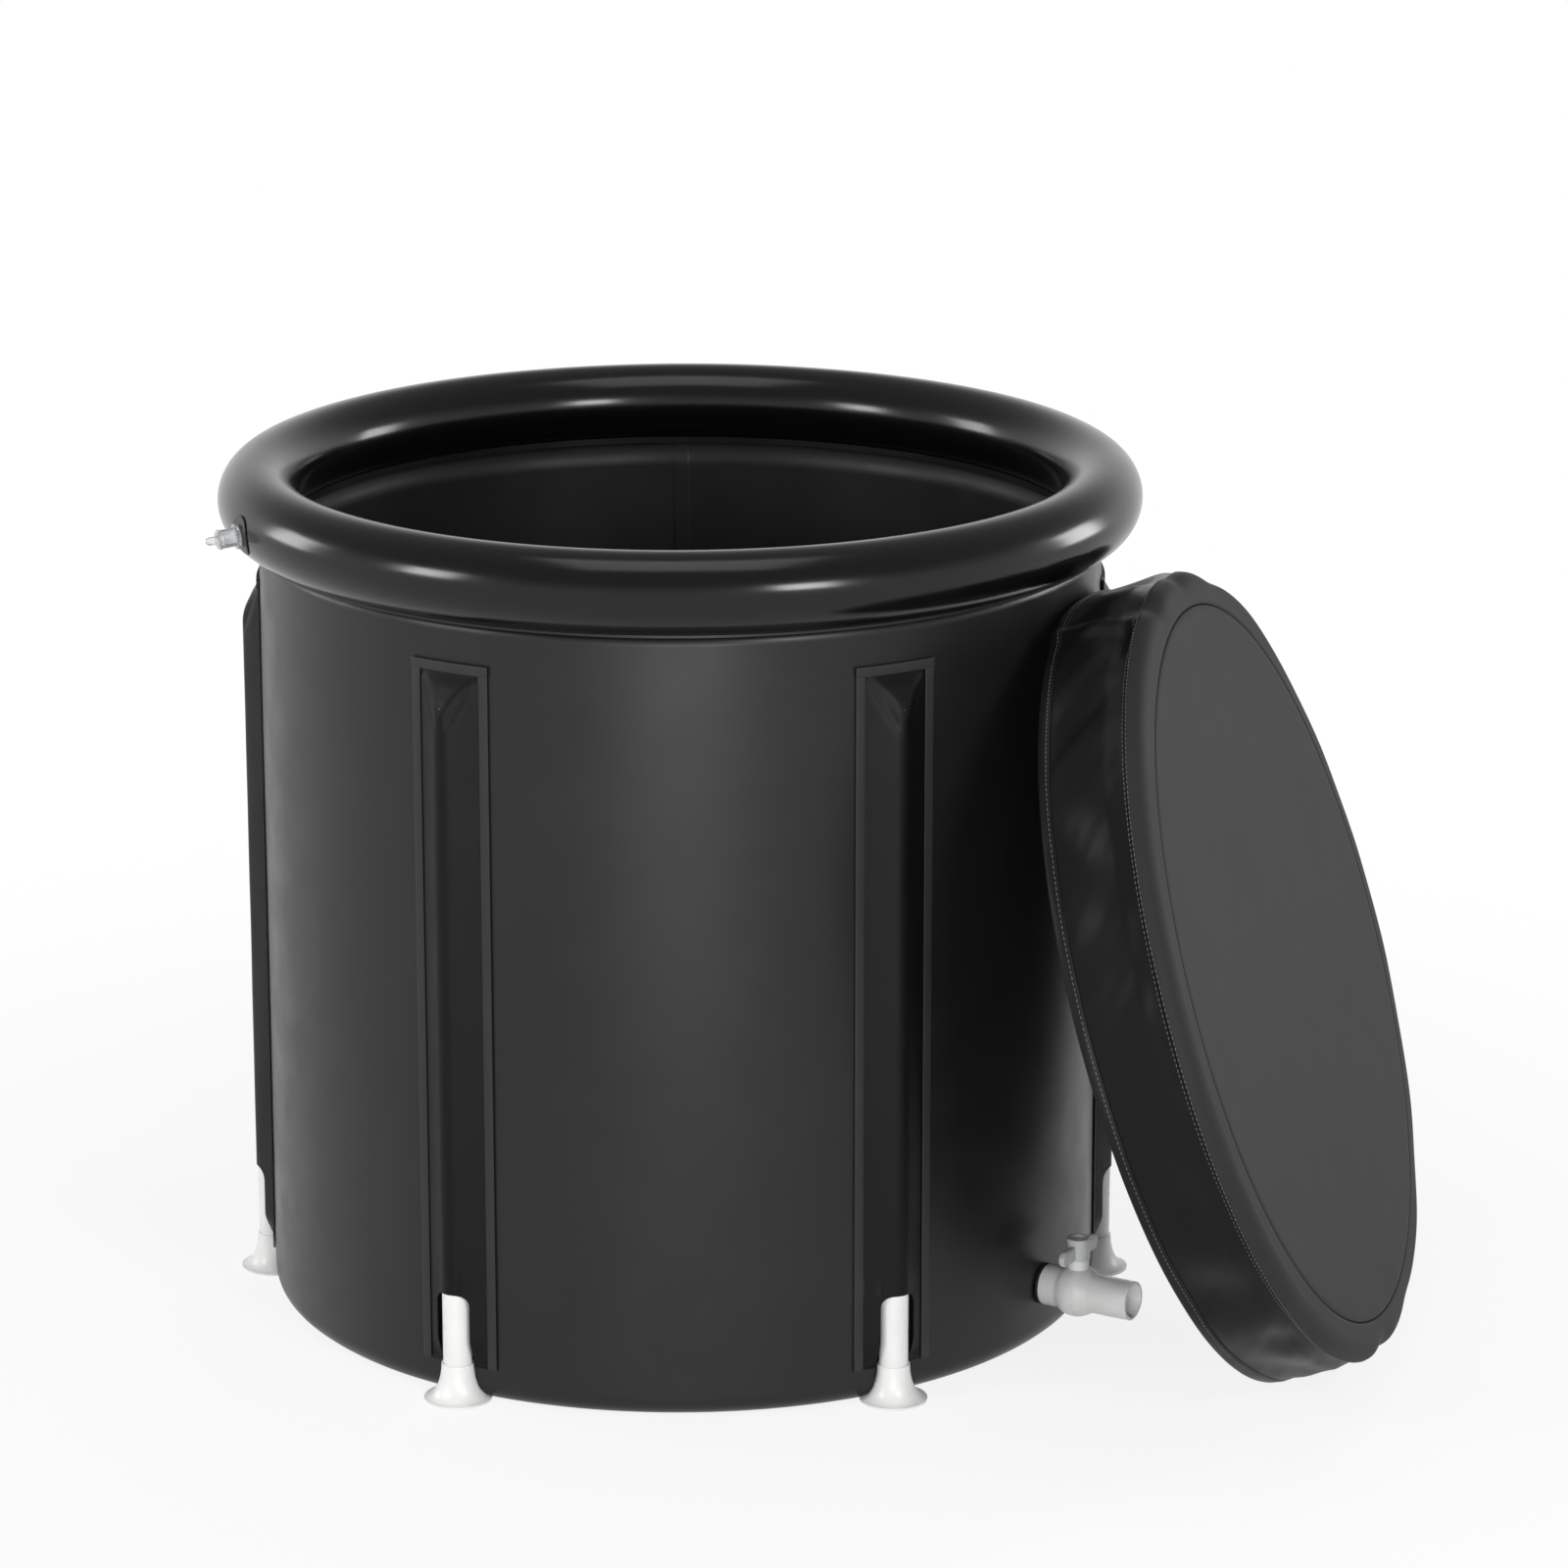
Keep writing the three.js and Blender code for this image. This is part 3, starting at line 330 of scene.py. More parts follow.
def close_middle(piece, count):
    """Fills the small hole in the middle of a piece whose first row has that many points."""
    work = bmesh.new()
    work.from_mesh(piece.data)
    work.verts.ensure_lookup_table()
    work.faces.new([work.verts[i] for i in range(count)])
    work.to_mesh(piece.data)
    work.free()


def merge_close(piece, distance):
    """Joins points that lie on one another, so that no squeezed face is left."""
    work = bmesh.new()
    work.from_mesh(piece.data)
    bmesh.ops.remove_doubles(work, verts=work.verts, dist=distance)
    work.to_mesh(piece.data)
    work.free()


def thicken(piece, thickness, offset=-1):
    solid = piece.modifiers.new("thickness", "SOLIDIFY")
    solid.thickness = thickness
    solid.offset = offset
    return piece


def bevel(piece, width, segments):
    edge = piece.modifiers.new("edge", "BEVEL")
    edge.width = width
    edge.segments = segments
    return piece


def rounded(points, radius, steps=3):
    """A closed outline with its corners turned into small arcs."""
    result = []
    for i, corner in enumerate(points):
        here = Vector(corner)
        back = Vector(points[i - 1]) - here
        on = Vector(points[(i + 1) % len(points)]) - here
        reach = min(radius, back.length * 0.4, on.length * 0.4)
        start, end = here + back.normalized() * reach, here + on.normalized() * reach
        for k in range(steps + 1):
            t = k / steps
            result.append(start * (1 - t) ** 2 + here * 2 * t * (1 - t) + end * t * t)
    return [tuple(p) for p in result]


def lathe(name, profile, steps, place, material, sharp=40):
    """A closed (radius, height) outline turned about Z, then set in place."""
    verts = []
    for i in range(steps):
        angle = math.tau * i / steps
        verts += [place @ Vector((r * math.cos(angle), r * math.sin(angle), z)) for r, z in profile]
    faces = grid_faces(steps, len(profile), close_rows=True, close_columns=True)
    piece = new_object(name, verts, faces, material)
    merge_close(piece, MERGE)
    return face_out(piece, sharp)


def plate(name, outline, thickness, place, material):
    """A flat plate with a (y, z) outline, set in place."""
    count = len(outline)
    verts = [place @ Vector((x, y, z)) for x in (-thickness / 2, thickness / 2) for y, z in outline]
    faces = [tuple(range(count)), tuple(range(2 * count - 1, count - 1, -1))]
    faces += [(i, (i + 1) % count, (i + 1) % count + count, i + count) for i in range(count)]
    return face_out(new_object(name, verts, faces, material))


def united(name, pieces, material):
    """Several closed meshes welded into one body."""
    first = pieces[0]
    for other in pieces[1:]:
        union = first.modifiers.new("union", "BOOLEAN")
        union.operation = "UNION"
        union.solver = "EXACT"
        union.object = other
    bpy.context.view_layer.update()
    mesh = bpy.data.meshes.new_from_object(first.evaluated_get(bpy.context.evaluated_depsgraph_get()))
    for old in pieces:
        bpy.data.objects.remove(old)
    mesh.materials.clear()
    mesh.materials.append(material)
    mesh.shade_smooth()
    mesh.name = name
    piece = bpy.data.objects.new(name, mesh)
    bpy.context.scene.collection.objects.link(piece)
    return face_out(piece, 30)


def finish_piece(piece, body, slot, *nodes):
    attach(piece, body)
    if nodes:
        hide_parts(*nodes)
    return piece


# Materials: most of a noise texture lies between these two values
NOISE_LOW = 0.3
NOISE_HIGH = 0.7


def base_material(name, color, roughness, specular=0.5):
    material = bpy.data.materials.new(name)
    material.use_nodes = True
    shader = material.node_tree.nodes["Principled BSDF"]
    shader.inputs["Base Color"].default_value = (*color, 1)
    shader.inputs["Roughness"].default_value = roughness
    shader.inputs["Specular IOR Level"].default_value = specular
    return material, material.node_tree.nodes, material.node_tree.links, shader


def add_noise(nodes, links, scale, detail=4, distortion=0.0):
    place = nodes.new("ShaderNodeTexCoord")
    texture = nodes.new("ShaderNodeTexNoise")
    texture.inputs["Scale"].default_value = scale
    texture.inputs["Detail"].default_value = detail
    texture.inputs["Distortion"].default_value = distortion
    links.new(place.outputs["Object"], texture.inputs["Vector"])
    return texture.outputs["Fac"]


def vary(nodes, links, value, low, high, socket):
    ramp = nodes.new("ShaderNodeMapRange")
    ramp.inputs["From Min"].default_value = NOISE_LOW
    ramp.inputs["From Max"].default_value = NOISE_HIGH
    ramp.inputs["To Min"].default_value = low
    ramp.inputs["To Max"].default_value = high
    links.new(value, ramp.inputs["Value"])
    links.new(ramp.outputs["Result"], socket)


def tint(nodes, links, value, dark, light, socket):
    ramp = nodes.new("ShaderNodeValToRGB")
    ramp.color_ramp.elements[0].position = NOISE_LOW
    ramp.color_ramp.elements[0].color = (*dark, 1)
    ramp.color_ramp.elements[1].position = NOISE_HIGH
    ramp.color_ramp.elements[1].color = (*light, 1)
    links.new(value, ramp.inputs["Fac"])
    links.new(ramp.outputs["Color"], socket)


def add_bump(nodes, links, heights, shader):
    normal = None
    for value, strength, distance in heights:
        bump = nodes.new("ShaderNodeBump")
        bump.inputs["Strength"].default_value = strength
        bump.inputs["Distance"].default_value = distance
        links.new(value, bump.inputs["Height"])
        if normal:
            links.new(normal, bump.inputs["Normal"])
        normal = bump.outputs["Normal"]
    links.new(normal, shader.inputs["Normal"])


def pebbles(nodes, links, scale):
    place = nodes.new("ShaderNodeTexCoord")
    cells = nodes.new("ShaderNodeTexVoronoi")
    cells.inputs["Scale"].default_value = scale
    links.new(place.outputs["Object"], cells.inputs["Vector"])
    return cells.outputs["Distance"]


def vinyl(name, color, roughness, specular, grain=1100, grain_depth=0.05, contrast=0.1, uneven=0.04):
    """Coated sheet: a fine pressed grain, faint cloudiness in tone and gloss."""
    material, nodes, links, shader = base_material(name, color, roughness, specular)
    clouds = add_noise(nodes, links, 7, 5, 0.6)
    dark = [c * (1 - contrast) for c in color]
    light = [c * (1 + contrast) for c in color]
    tint(nodes, links, clouds, dark, light, shader.inputs["Base Color"])
    vary(nodes, links, add_noise(nodes, links, 23, 3), roughness - uneven, roughness + uneven,
         shader.inputs["Roughness"])
    add_bump(nodes, links, [
        (pebbles(nodes, links, grain), grain_depth * 4, grain_depth * MM),
        (add_noise(nodes, links, 60, 3), uneven, 0.2 * MM),
    ], shader)
    return material


def plastic(name, color, roughness, specular=0.5):
    """Moulded or extruded plastic with faint flow marks and handling scuffs."""
    material, nodes, links, shader = base_material(name, color, roughness, specular)
    dark = [c * 0.95 for c in color]
    tint(nodes, links, add_noise(nodes, links, 40, 4), dark, color, shader.inputs["Base Color"])
    vary(nodes, links, add_noise(nodes, links, 90, 4), roughness - 0.06, roughness + 0.08,
         shader.inputs["Roughness"])
    add_bump(nodes, links, [(add_noise(nodes, links, 420, 3), 0.1, 0.05 * MM)], shader)
    return material


def clear_plastic(name, color, roughness, transmission):
    material, nodes, links, shader = base_material(name, color, roughness)
    shader.inputs["Transmission Weight"].default_value = transmission
    shader.inputs["IOR"].default_value = 1.46
    vary(nodes, links, add_noise(nodes, links, 120, 3), roughness - 0.04, roughness + 0.06,
         shader.inputs["Roughness"])
    add_bump(nodes, links, [(add_noise(nodes, links, 260, 3), 0.15, 0.08 * MM)], shader)
    return material


def foam_material():
    material, nodes, links, shader = base_material("foam", (0.78, 0.78, 0.76), 0.9)
    add_bump(nodes, links, [(pebbles(nodes, links, 700), 0.4, 0.3 * MM)], shader)
    tint(nodes, links, add_noise(nodes, links, 30), (0.7, 0.7, 0.68), (0.8, 0.8, 0.78),
         shader.inputs["Base Color"])
    return material


WALL_VINYL = vinyl("wall_vinyl", (0.0095, 0.0095, 0.0098), 0.37, 0.31)
LINER_VINYL = vinyl("liner_vinyl", (0.013, 0.013, 0.0134), 0.45, 0.3)
RING_VINYL = vinyl("ring_vinyl", (0.004, 0.004, 0.0042), 0.19, 0.35, 1400, 0.02, 0.06, 0.02)
SLEEVE_VINYL = vinyl("sleeve_vinyl", (0.0045, 0.0045, 0.0047), 0.45, 0.13)
BAND_VINYL = vinyl("band_vinyl", (0.024, 0.024, 0.0245), 0.5, 0.25, 800, 0.09)
LID_VINYL = vinyl("lid_vinyl", (0.027, 0.027, 0.0275), 0.62, 0.1, 1000, 0.05, 0.03, 0.01)
# The lid's skirt, hem and lining are the same fabric as lid_vinyl, with a darker base colour: painted shade
# on the sides and underside.
LID_SIDE_SHADED_VINYL = vinyl("lid_vinyl_painted_shade", (0.008, 0.008, 0.0083), 0.42, 0.13, 1000, 0.06)
THREAD = vinyl("thread", (0.13, 0.13, 0.13), 0.7, 0.3, 3000, 0.05)
WHITE_PVC = plastic("white_pvc", (0.87, 0.87, 0.86), 0.32)
# The valve's plastic is the white PVC with a lighter base colour: painted light, set against the shade that
# the lid casts on the valve.
LIT_WHITE_PVC = plastic("valve_plastic", (0.94, 0.94, 0.93), 0.35)
RUBBER = vinyl("seal_rubber", (0.02, 0.02, 0.02), 0.75, 0.3, 1500, 0.04)
CLEAR_GREY = clear_plastic("clear_grey_plastic", (0.86, 0.87, 0.88), 0.34, 0.3)
CLEAR_VINYL = clear_plastic("clear_vinyl", (0.92, 0.93, 0.94), 0.12, 0.85)
FOAM = foam_material()


# The tub's shell
def to_leg(angle):
    return (angle + LEG_STEP / 2) % LEG_STEP - LEG_STEP / 2


def leg_half_width(z):
    if z >= FOOT_HEIGHT:
        return COLLAR_R
    share = min((FOOT_HEIGHT - z) / (FOOT_HEIGHT - FOOT_RIM), 1)
    return FOOT_R - (FOOT_R - COLLAR_R) * math.sqrt(1 - share * share)


def wall_radius(radius, angle, z):
    """The wall dips behind each leg, and its two ends overlap in one weld at the back."""
    offset = to_leg(angle)
    half = leg_half_width(z) + LEG_MARGIN
    side = LEG_R * math.sin(offset)
    along = (angle - SEAM_ANGLE) * WALL_R
    fall = smooth_step(SEAM_WIDTH, 2 * SEAM_WIDTH, along)
    radius += SEAM_RISE * smooth_step(0, SEAM_EDGE, along) * (1 - fall)
    radius += WALL_WAVE * round_noise(3, angle, 5 * z)
    if abs(side) >= half:
        return radius
    room = LEG_R * math.cos(offset) - math.sqrt(half * half - side * side)
    dip = radius - smooth_min(radius, room, DIP_EASE)
    return radius - dip * (1 - smooth_step(DIP_TOP, DIP_TOP + DIP_FADE, z))


def wall_angles():
    angles = []
    for leg in range(LEG_COUNT):
        start = leg * LEG_STEP - LEG_STEP / 2
        middle = start + LEG_STEP / 2
        angles += spread(start, middle - LEG_NEAR, 18)[:-1]
        angles += spread(middle - LEG_NEAR, middle + LEG_NEAR, 56)[:-1]
        angles += spread(middle + LEG_NEAR, start + LEG_STEP, 18)[:-1]
    width = SEAM_WIDTH / WALL_R
    angles += spread(SEAM_ANGLE - width / 7, SEAM_ANGLE + width * 2, 24)[1:-1]
    return sorted(set(angles))


def cylinder_point(radius, angle, z):
    return Vector((radius * math.cos(angle), radius * math.sin(angle), z))


def make_wall():
    corner = [(WALL_R - BASE_CORNER + BASE_CORNER * math.sin(t), BASE_CORNER - BASE_CORNER * math.cos(t))
              for t in spread(0, math.pi / 2, 8)]
    profile = [(r, 0) for r in spread(BASE_R, WALL_R - BASE_CORNER, 4)[:-1]] + corner
    stops = [BASE_CORNER, FOOT_HEIGHT + FOOT_CLEAR, DIP_TOP, DIP_TOP + DIP_FADE, WALL_TOP]
    for low, high, count in zip(stops, stops[1:], (10, 28, 6, 6)):
        profile += [(WALL_R, z) for z in spread(low, high, count)[1:]]

    def point(row, angle):
        return cylinder_point(wall_radius(row[0], angle, row[1]), angle, row[1])

    wall = surface("tub_wall", profile, wall_angles(), point, WALL_VINYL, close_columns=True)
    merge_close(wall, WALL_MERGE)
    thicken(sharpen(wall), SKIN)
    finish_piece(wall, "tub", "wall_vinyl", "outer_wall")


def make_ring():
    def point(around, angle):
        pull = 1 + RING_WAVE * round_noise(2.5, angle, math.sin(around))
        radius = RING_R + RING_TUBE_R * pull * math.cos(around)
        return cylinder_point(radius, angle, RING_Z + RING_TUBE_R * pull * math.sin(around))

    rows, columns = full_turn(TUBE_STEPS), full_turn(ROUND_STEPS)
    ring = surface("top_ring_tube", rows, columns, point, RING_VINYL, True, True)
    finish_piece(face_out(ring), "tub", "ring_vinyl", "top_ring")


def make_weld_strip():
    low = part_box("ring_weld_strip")[0].z
    trough = [(RING_R + STRIP_R * math.cos(t), RING_Z + STRIP_R * math.sin(t))
              for t in spread(STRIP_START, STRIP_END, 12)]
    profile = trough + [(trough[-1][0], low), (trough[0][0], low)]
    strip = lathe("ring_weld", profile, ROUND_STEPS, Matrix.Identity(4), WALL_VINYL)
    finish_piece(strip, "tub", "wall_vinyl", "ring_weld_strip")


def make_liner():
    """The inside of the tub, with a soft floor and one overlapping weld up the wall."""
    inside = WALL_R - WALL_THICKNESS
    floor = LINER_BOTTOM + SKIN
    middle = (inside - LINER_CORNER, floor + LINER_CORNER)
    profile = [(r, floor) for r in spread(LINER_MIDDLE, middle[0], 40)]
    profile += [(middle[0] + LINER_CORNER * math.sin(t), middle[1] - LINER_CORNER * math.cos(t))
                for t in spread(0, math.pi / 2, 8)[1:]]
    profile += [(inside, z) for z in spread(middle[1], WALL_TOP, 30)[1:]]

    def point(row, angle):
        radius, z = row
        along = (angle - SEAM_ANGLE) * inside
        fall = smooth_step(SEAM_WIDTH, SEAM_WIDTH + SEAM_EDGE, along)
        weld = smooth_step(0, SEAM_EDGE, along) * (1 - fall)
        ease = smooth_step(0, LINER_RISE, z - floor)
        radius -= SEAM_RISE * weld * ease
        flat = 1 - smooth_step(0.8 * middle[0], middle[0], radius)
        soft = round_noise(9 * radius, angle, 2)
        band = bump_at(radius, middle[0] - LINER_BAND_IN, LINER_BAND_WIDTH)
        rise = LINER_WAVE * soft * flat + LINER_BAND_RISE * band
        return cylinder_point(radius, angle, z + (1 - ease) * rise)

    weld_angles = spread(SEAM_ANGLE - WELD_BEFORE, SEAM_ANGLE + SEAM_WIDTH / inside + WELD_AFTER, 16)
    angles = sorted(set(full_turn(ROUND_STEPS) + weld_angles))
    liner = surface("tub_liner", profile, angles, point, LINER_VINYL, close_columns=True)
    close_middle(liner, len(angles))
    thicken(sharpen(liner), LINER_SKIN, offset=1)
    finish_piece(liner, "tub", "wall_vinyl", "inner_liner")


def make_base():
    outer = BASE_R - BASE_GAP
    profile = [(max(r, 0), z) for r, z in rounded([(0, 0), (outer, 0), (outer, SKIN), (0, SKIN)], BASE_EDGE)]
    disc = lathe("base_sheet", profile, ROUND_STEPS, Matrix.Identity(4), WALL_VINYL)
    finish_piece(disc, "tub", "wall_vinyl", "base_skin")


# Legs, sleeves and their welded borders
def on_wall(side, rise, z, turn):
    angle = side / WALL_R + turn
    return cylinder_point(WALL_R + rise, angle, z)


TENT_LEAN = math.atan2(STAND_OFF - SHEET_LIFT, FREE_HALF)
TENT_REACH = math.hypot(STAND_OFF - SHEET_LIFT, FREE_HALF)
TENT_SLOPE = math.asin(TENT_R / TENT_REACH) + TENT_LEAN
TENT_TOUCH = TENT_R * math.sin(TENT_SLOPE)
HIP_START = CAP_TOP - 4 * MM
HIP_RISE = STAND_OFF + TENT_R - SHEET_LIFT
HIP_EASE = 6 * MM
FORK_FOOT = HIP_START - 22 * MM
FORK_SPREAD = 26 * MM
FORK_WIDTH = 4.5 * MM
FORK_DEPTH = 1.6 * MM
BROW_RISE = 0.7 * MM


def tent_rise(side):
    away = abs(side)
    if away >= FREE_HALF:
        return SHEET_LIFT
    if away <= TENT_TOUCH:
        return STAND_OFF + math.sqrt(TENT_R ** 2 - side ** 2)
    return SHEET_LIFT + (FREE_HALF - away) * math.tan(TENT_SLOPE)


def sleeve_rise(side, z):
    """Tight over the pipe, eased in at the top with a forked fold, and drawn in a little at the slot."""
    tent = tent_rise(side) - SHEET_LIFT
    hip = HIP_RISE * (FREE_TOP - z) / (FREE_TOP - HIP_START)
    rise = smooth_min(tent, max(hip, 0), HIP_EASE) if z > FORK_FOOT else tent
    climb = (z - FORK_FOOT) / (FREE_TOP - FORK_FOOT)
    fork = bump_at(abs(side), FORK_SPREAD * climb, FORK_WIDTH) * smooth_step(2 * MM, 8 * MM, abs(side))
    fork *= FORK_DEPTH * smooth_step(-0.1, 0.2, climb) * (1 - smooth_step(0.55, 0.9, climb))
    brow = BROW_RISE * bump_at(climb, 0.8, 0.12) * bump_at(side, 0, 16 * MM)
    lower = smooth_step(SLEEVE_BOTTOM - 1 * MM, SLEEVE_BOTTOM + SLEEVE_DRAW, z)
    ripple = SLEEVE_WAVE * soft_noise(40 * side, 11 * z, 3) * smooth_step(0, 8 * MM, tent)
    return SHEET_LIFT + max(rise * lower - fork + brow + ripple, 0)


def slot_half(z):
    if z >= SLOT_TOP:
        return 0
    if z <= SLOT_TOP - SLOT_CORNER:
        return SLOT_HALF
    return SLOT_HALF - SLOT_CORNER + math.sqrt(SLOT_CORNER ** 2 - (z - SLOT_TOP + SLOT_CORNER) ** 2)


def make_sleeve(number, turn):
    shares = spread(0, 1, 22)
    columns = [(-1, share) for share in shares] + [(1, 1 - share) for share in shares]
    corner = [SLOT_TOP - SLOT_CORNER + SLOT_CORNER * math.sin(t) for t in spread(0, math.pi / 2, 7)]
    fine = HIP_START - 24 * MM
    rows = spread(SLEEVE_BOTTOM, SLOT_TOP - SLOT_CORNER, 14) + corner[1:-1]
    rows += [SLOT_TOP - 0.02 * MM, SLOT_TOP] + spread(SLOT_TOP, fine, 24)[1:]
    rows += spread(fine, FREE_TOP, 40)[1:] + spread(FREE_TOP, SLEEVE_TOP, 3)[1:]

    def point(z, column):
        sign, share = column
        side = sign * (SLEEVE_HALF + (slot_half(z) - SLEEVE_HALF) * share)
        return on_wall(side, sleeve_rise(side, z), z, turn)

    sleeve = surface(f"sleeve_{number}", rows, columns, point, SLEEVE_VINYL)
    work = bmesh.new()
    work.from_mesh(sleeve.data)
    gap = [face for face in work.faces if all(v.co.z < SLOT_TOP - 0.01 * MM for v in face.verts)
           and face.calc_area() > 0 and is_slot_face(face, turn)]
    bmesh.ops.delete(work, geom=gap, context="FACES")
    bmesh.ops.remove_doubles(work, verts=work.verts, dist=1e-7)
    work.to_mesh(sleeve.data)
    work.free()
    thicken(sharpen(sleeve, 60), SHEET_THICKNESS)
    finish_piece(sleeve, "tub", "sleeve_vinyl", f"leg_sleeve_{number}")


def is_slot_face(face, turn):
    """The one face of each row that would span the slot from side to side."""
    sides = [math.remainder(math.atan2(v.co.y, v.co.x) - turn, math.tau) for v in face.verts]
    return min(sides) < -1e-6 and max(sides) > 1e-6


def make_band(number, turn):
    under = SHEET_LIFT + BAND_GAP

    def strip(name, sides, heights, lift):
        def point(z, side):
            return on_wall(side, under + lift + BAND_THICKNESS, z, turn)
        piece = surface(name, heights, sides, point, BAND_VINYL)
        thicken(sharpen(piece), BAND_THICKNESS)
        bevel(piece, BAND_EDGE, 2)
        finish_piece(piece, "tub", "band_vinyl", f"sleeve_band_{number}")

    heights = spread(SLEEVE_BOTTOM, SLEEVE_TOP, 30)
    strip(f"band_left_{number}", spread(-SLEEVE_HALF, -FREE_HALF, 3), heights, 0)
    strip(f"band_right_{number}", spread(FREE_HALF, SLEEVE_HALF, 3), heights, 0)
    across = spread(-SLEEVE_HALF - TOP_BAND_OVER, SLEEVE_HALF + TOP_BAND_OVER, 24)
    strip(f"band_top_{number}", across, spread(FREE_TOP, SLEEVE_TOP + TOP_BAND_OVER, 3), TOP_BAND_LIFT)


def make_leg(number, turn):
    place = Matrix.Rotation(turn, 4, "Z") @ Matrix.Translation((LEG_R, 0, 0))
    low, high = TUBE_LOW.z, TUBE_HIGH.z
    inner = LEG_TUBE_R - PIPE_THICKNESS
    outline = rounded([(inner, low), (LEG_TUBE_R, low), (LEG_TUBE_R, high), (inner, high)], PIPE_EDGE)
    tube = lathe(f"pipe_{number}", outline, LEG_STEPS, place, WHITE_PVC)
    finish_piece(tube, "tub", "white_pvc", f"leg_tube_{number}")
    flare = [(leg_half_width(z), z) for z in
             [FOOT_HEIGHT - (FOOT_HEIGHT - FOOT_RIM) * math.cos(t) for t in spread(0, math.pi / 2, 14)]]
    rim = [(FOOT_R - 0.8 * MM, 0), (FOOT_R - 0.2 * MM, 0.3 * MM), (FOOT_R, 1 * MM)]
    bore = LEG_TUBE_R + FOOT_FIT
    lip_z = FOOT_HEIGHT + 0.3 * MM
    lip = [(COLLAR_R - 0.1 * MM, lip_z), (bore + 0.2 * MM, lip_z)]
    profile = [(0, 0), *rim, *flare, *lip, (bore, FOOT_HEIGHT), (bore, FOOT_FLOOR), (0, FOOT_FLOOR)]
    foot = lathe(f"foot_{number}", profile, LEG_STEPS, place, WHITE_PVC)
    finish_piece(foot, "tub", "white_pvc", f"leg_foot_{number}")


# The drain valve, drawn along X from the tub's axis
DRAIN_TURN = math.atan2(BALL_PLACE.y, BALL_PLACE.x)
BALL_X = math.hypot(BALL_PLACE.x, BALL_PLACE.y)
DRAIN_PLACE = Matrix.Rotation(DRAIN_TURN, 4, "Z") @ Matrix.Translation((0, 0, BALL_PLACE.z))
ALONG_X = DRAIN_PLACE @ Matrix.Rotation(math.pi / 2, 4, "Y")
AT_BALL = DRAIN_PLACE @ Matrix.Translation((BALL_X, 0, 0))
WALL_GAP = 0.3 * MM
GASKET = 2 * MM
SOCKET_X = WALL_R + GASKET + 2 * WALL_GAP
SPIGOT_END = BALL_X + SPIGOT_LENGTH
WING_REACH = BALL_X - WALL_R - 1 * MM
SPLIT = 5 * MM
HUB_Z = NECK_TOP + 0.3 * MM


def sphere_points(start, end, steps):
    return [(SPHERE_R * math.sin(t), BALL_X + SPHERE_R * math.cos(t)) for t in spread(start, end, steps)]


def make_valve():
    meet = math.pi - math.asin(SOCKET_R / SPHERE_R)
    ease = [(SOCKET_R, BALL_X + SPHERE_R * math.cos(meet) - 2.4 * MM)]
    mouth = [(BULKHEAD_R, SOCKET_X), (SOCKET_R, SOCKET_X), (SOCKET_R, SOCKET_X + 8 * MM)]
    body = rounded(mouth, SOCKET_EDGE)[:8]
    split = math.acos(SPLIT / SPHERE_R)
    body += ease + sphere_points(meet - 0.06, split, 20) + [(SPIGOT_BORE_R, BALL_X + SPLIT)]
    shell = lathe("valve_shell", body, VALVE_STEPS, ALONG_X, LIT_WHITE_PVC, 60)
    post = rounded([(0, 0), (NECK_R, 0), (NECK_R, NECK_TOP), (0, NECK_TOP)], NECK_EDGE)
    neck = lathe("valve_neck", post, VALVE_STEPS, AT_BALL, LIT_WHITE_PVC)
    housing = united("valve_housing", [shell, neck], LIT_WHITE_PVC)
    finish_piece(housing, "tub", "white_pvc", "drain_valve_body")

    leave = math.asin(SPIGOT_R / SPHERE_R)
    start = math.acos((SPLIT + SPLIT_GAP) / SPHERE_R)
    spigot = [(SPIGOT_BORE_R, BALL_X + SPLIT + SPLIT_GAP), *sphere_points(start, leave + 0.07, 14)]
    spigot += [(SPIGOT_R + 0.15 * MM, BALL_X + SPHERE_R * math.cos(leave) + 1.6 * MM)]
    spigot += [(SPIGOT_R, SPIGOT_END - SPIGOT_EDGE), (SPIGOT_R - 0.5 * MM, SPIGOT_END)]
    spigot += [(SPIGOT_BORE_R + 0.4 * MM, SPIGOT_END), (SPIGOT_BORE_R, SPIGOT_END - SPIGOT_EDGE)]
    spigot += [(SPIGOT_BORE_R, BALL_X + SPHERE_R), (PIPE_BORE_R, BALL_X + SPHERE_R)]
    spigot += [(PIPE_BORE_R, BALL_X + SPIGOT_STOP), (SPIGOT_BORE_R, BALL_X + SPIGOT_STOP)]
    outlet = lathe("valve_spigot", spigot, VALVE_STEPS, ALONG_X, LIT_WHITE_PVC, 35)
    finish_piece(outlet, "tub", "white_pvc", "drain_valve_outlet")


def make_bulkhead():
    low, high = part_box("drain_inner_gasket")
    middle = (low + high) / 2
    inner_gasket = math.hypot(middle.x, middle.y) - GASKET / 2
    flange = inner_gasket - WALL_GAP
    start, end = flange - FLANGE_THICKNESS, SOCKET_X + BULKHEAD_REACH
    pipe = BULKHEAD_R - BULKHEAD_FIT
    outline = [(PIPE_BORE_R, start), (FLANGE_R, start), (FLANGE_R, flange), (pipe, flange), (pipe, end),
               (PIPE_BORE_R, end)]
    bulkhead = lathe("drain_flange", rounded(outline, FLANGE_EDGE), VALVE_STEPS, ALONG_X, WHITE_PVC)
    finish_piece(bulkhead, "tub", "white_pvc", "drain_bulkhead")
    washers = [("drain_gasket_in", FLANGE_R, inner_gasket, "drain_inner_gasket"),
               ("drain_gasket_out", SOCKET_R, WALL_R + WALL_GAP, "drain_outer_gasket")]
    for name, outer, start, node in washers:
        end = start + GASKET
        section = [(BULKHEAD_R, start), (outer, start), (outer, end), (BULKHEAD_R, end)]
        washer = lathe(name, rounded(section, GASKET_EDGE), VALVE_STEPS, ALONG_X, RUBBER)
        finish_piece(washer, "tub", "seal_rubber", node)


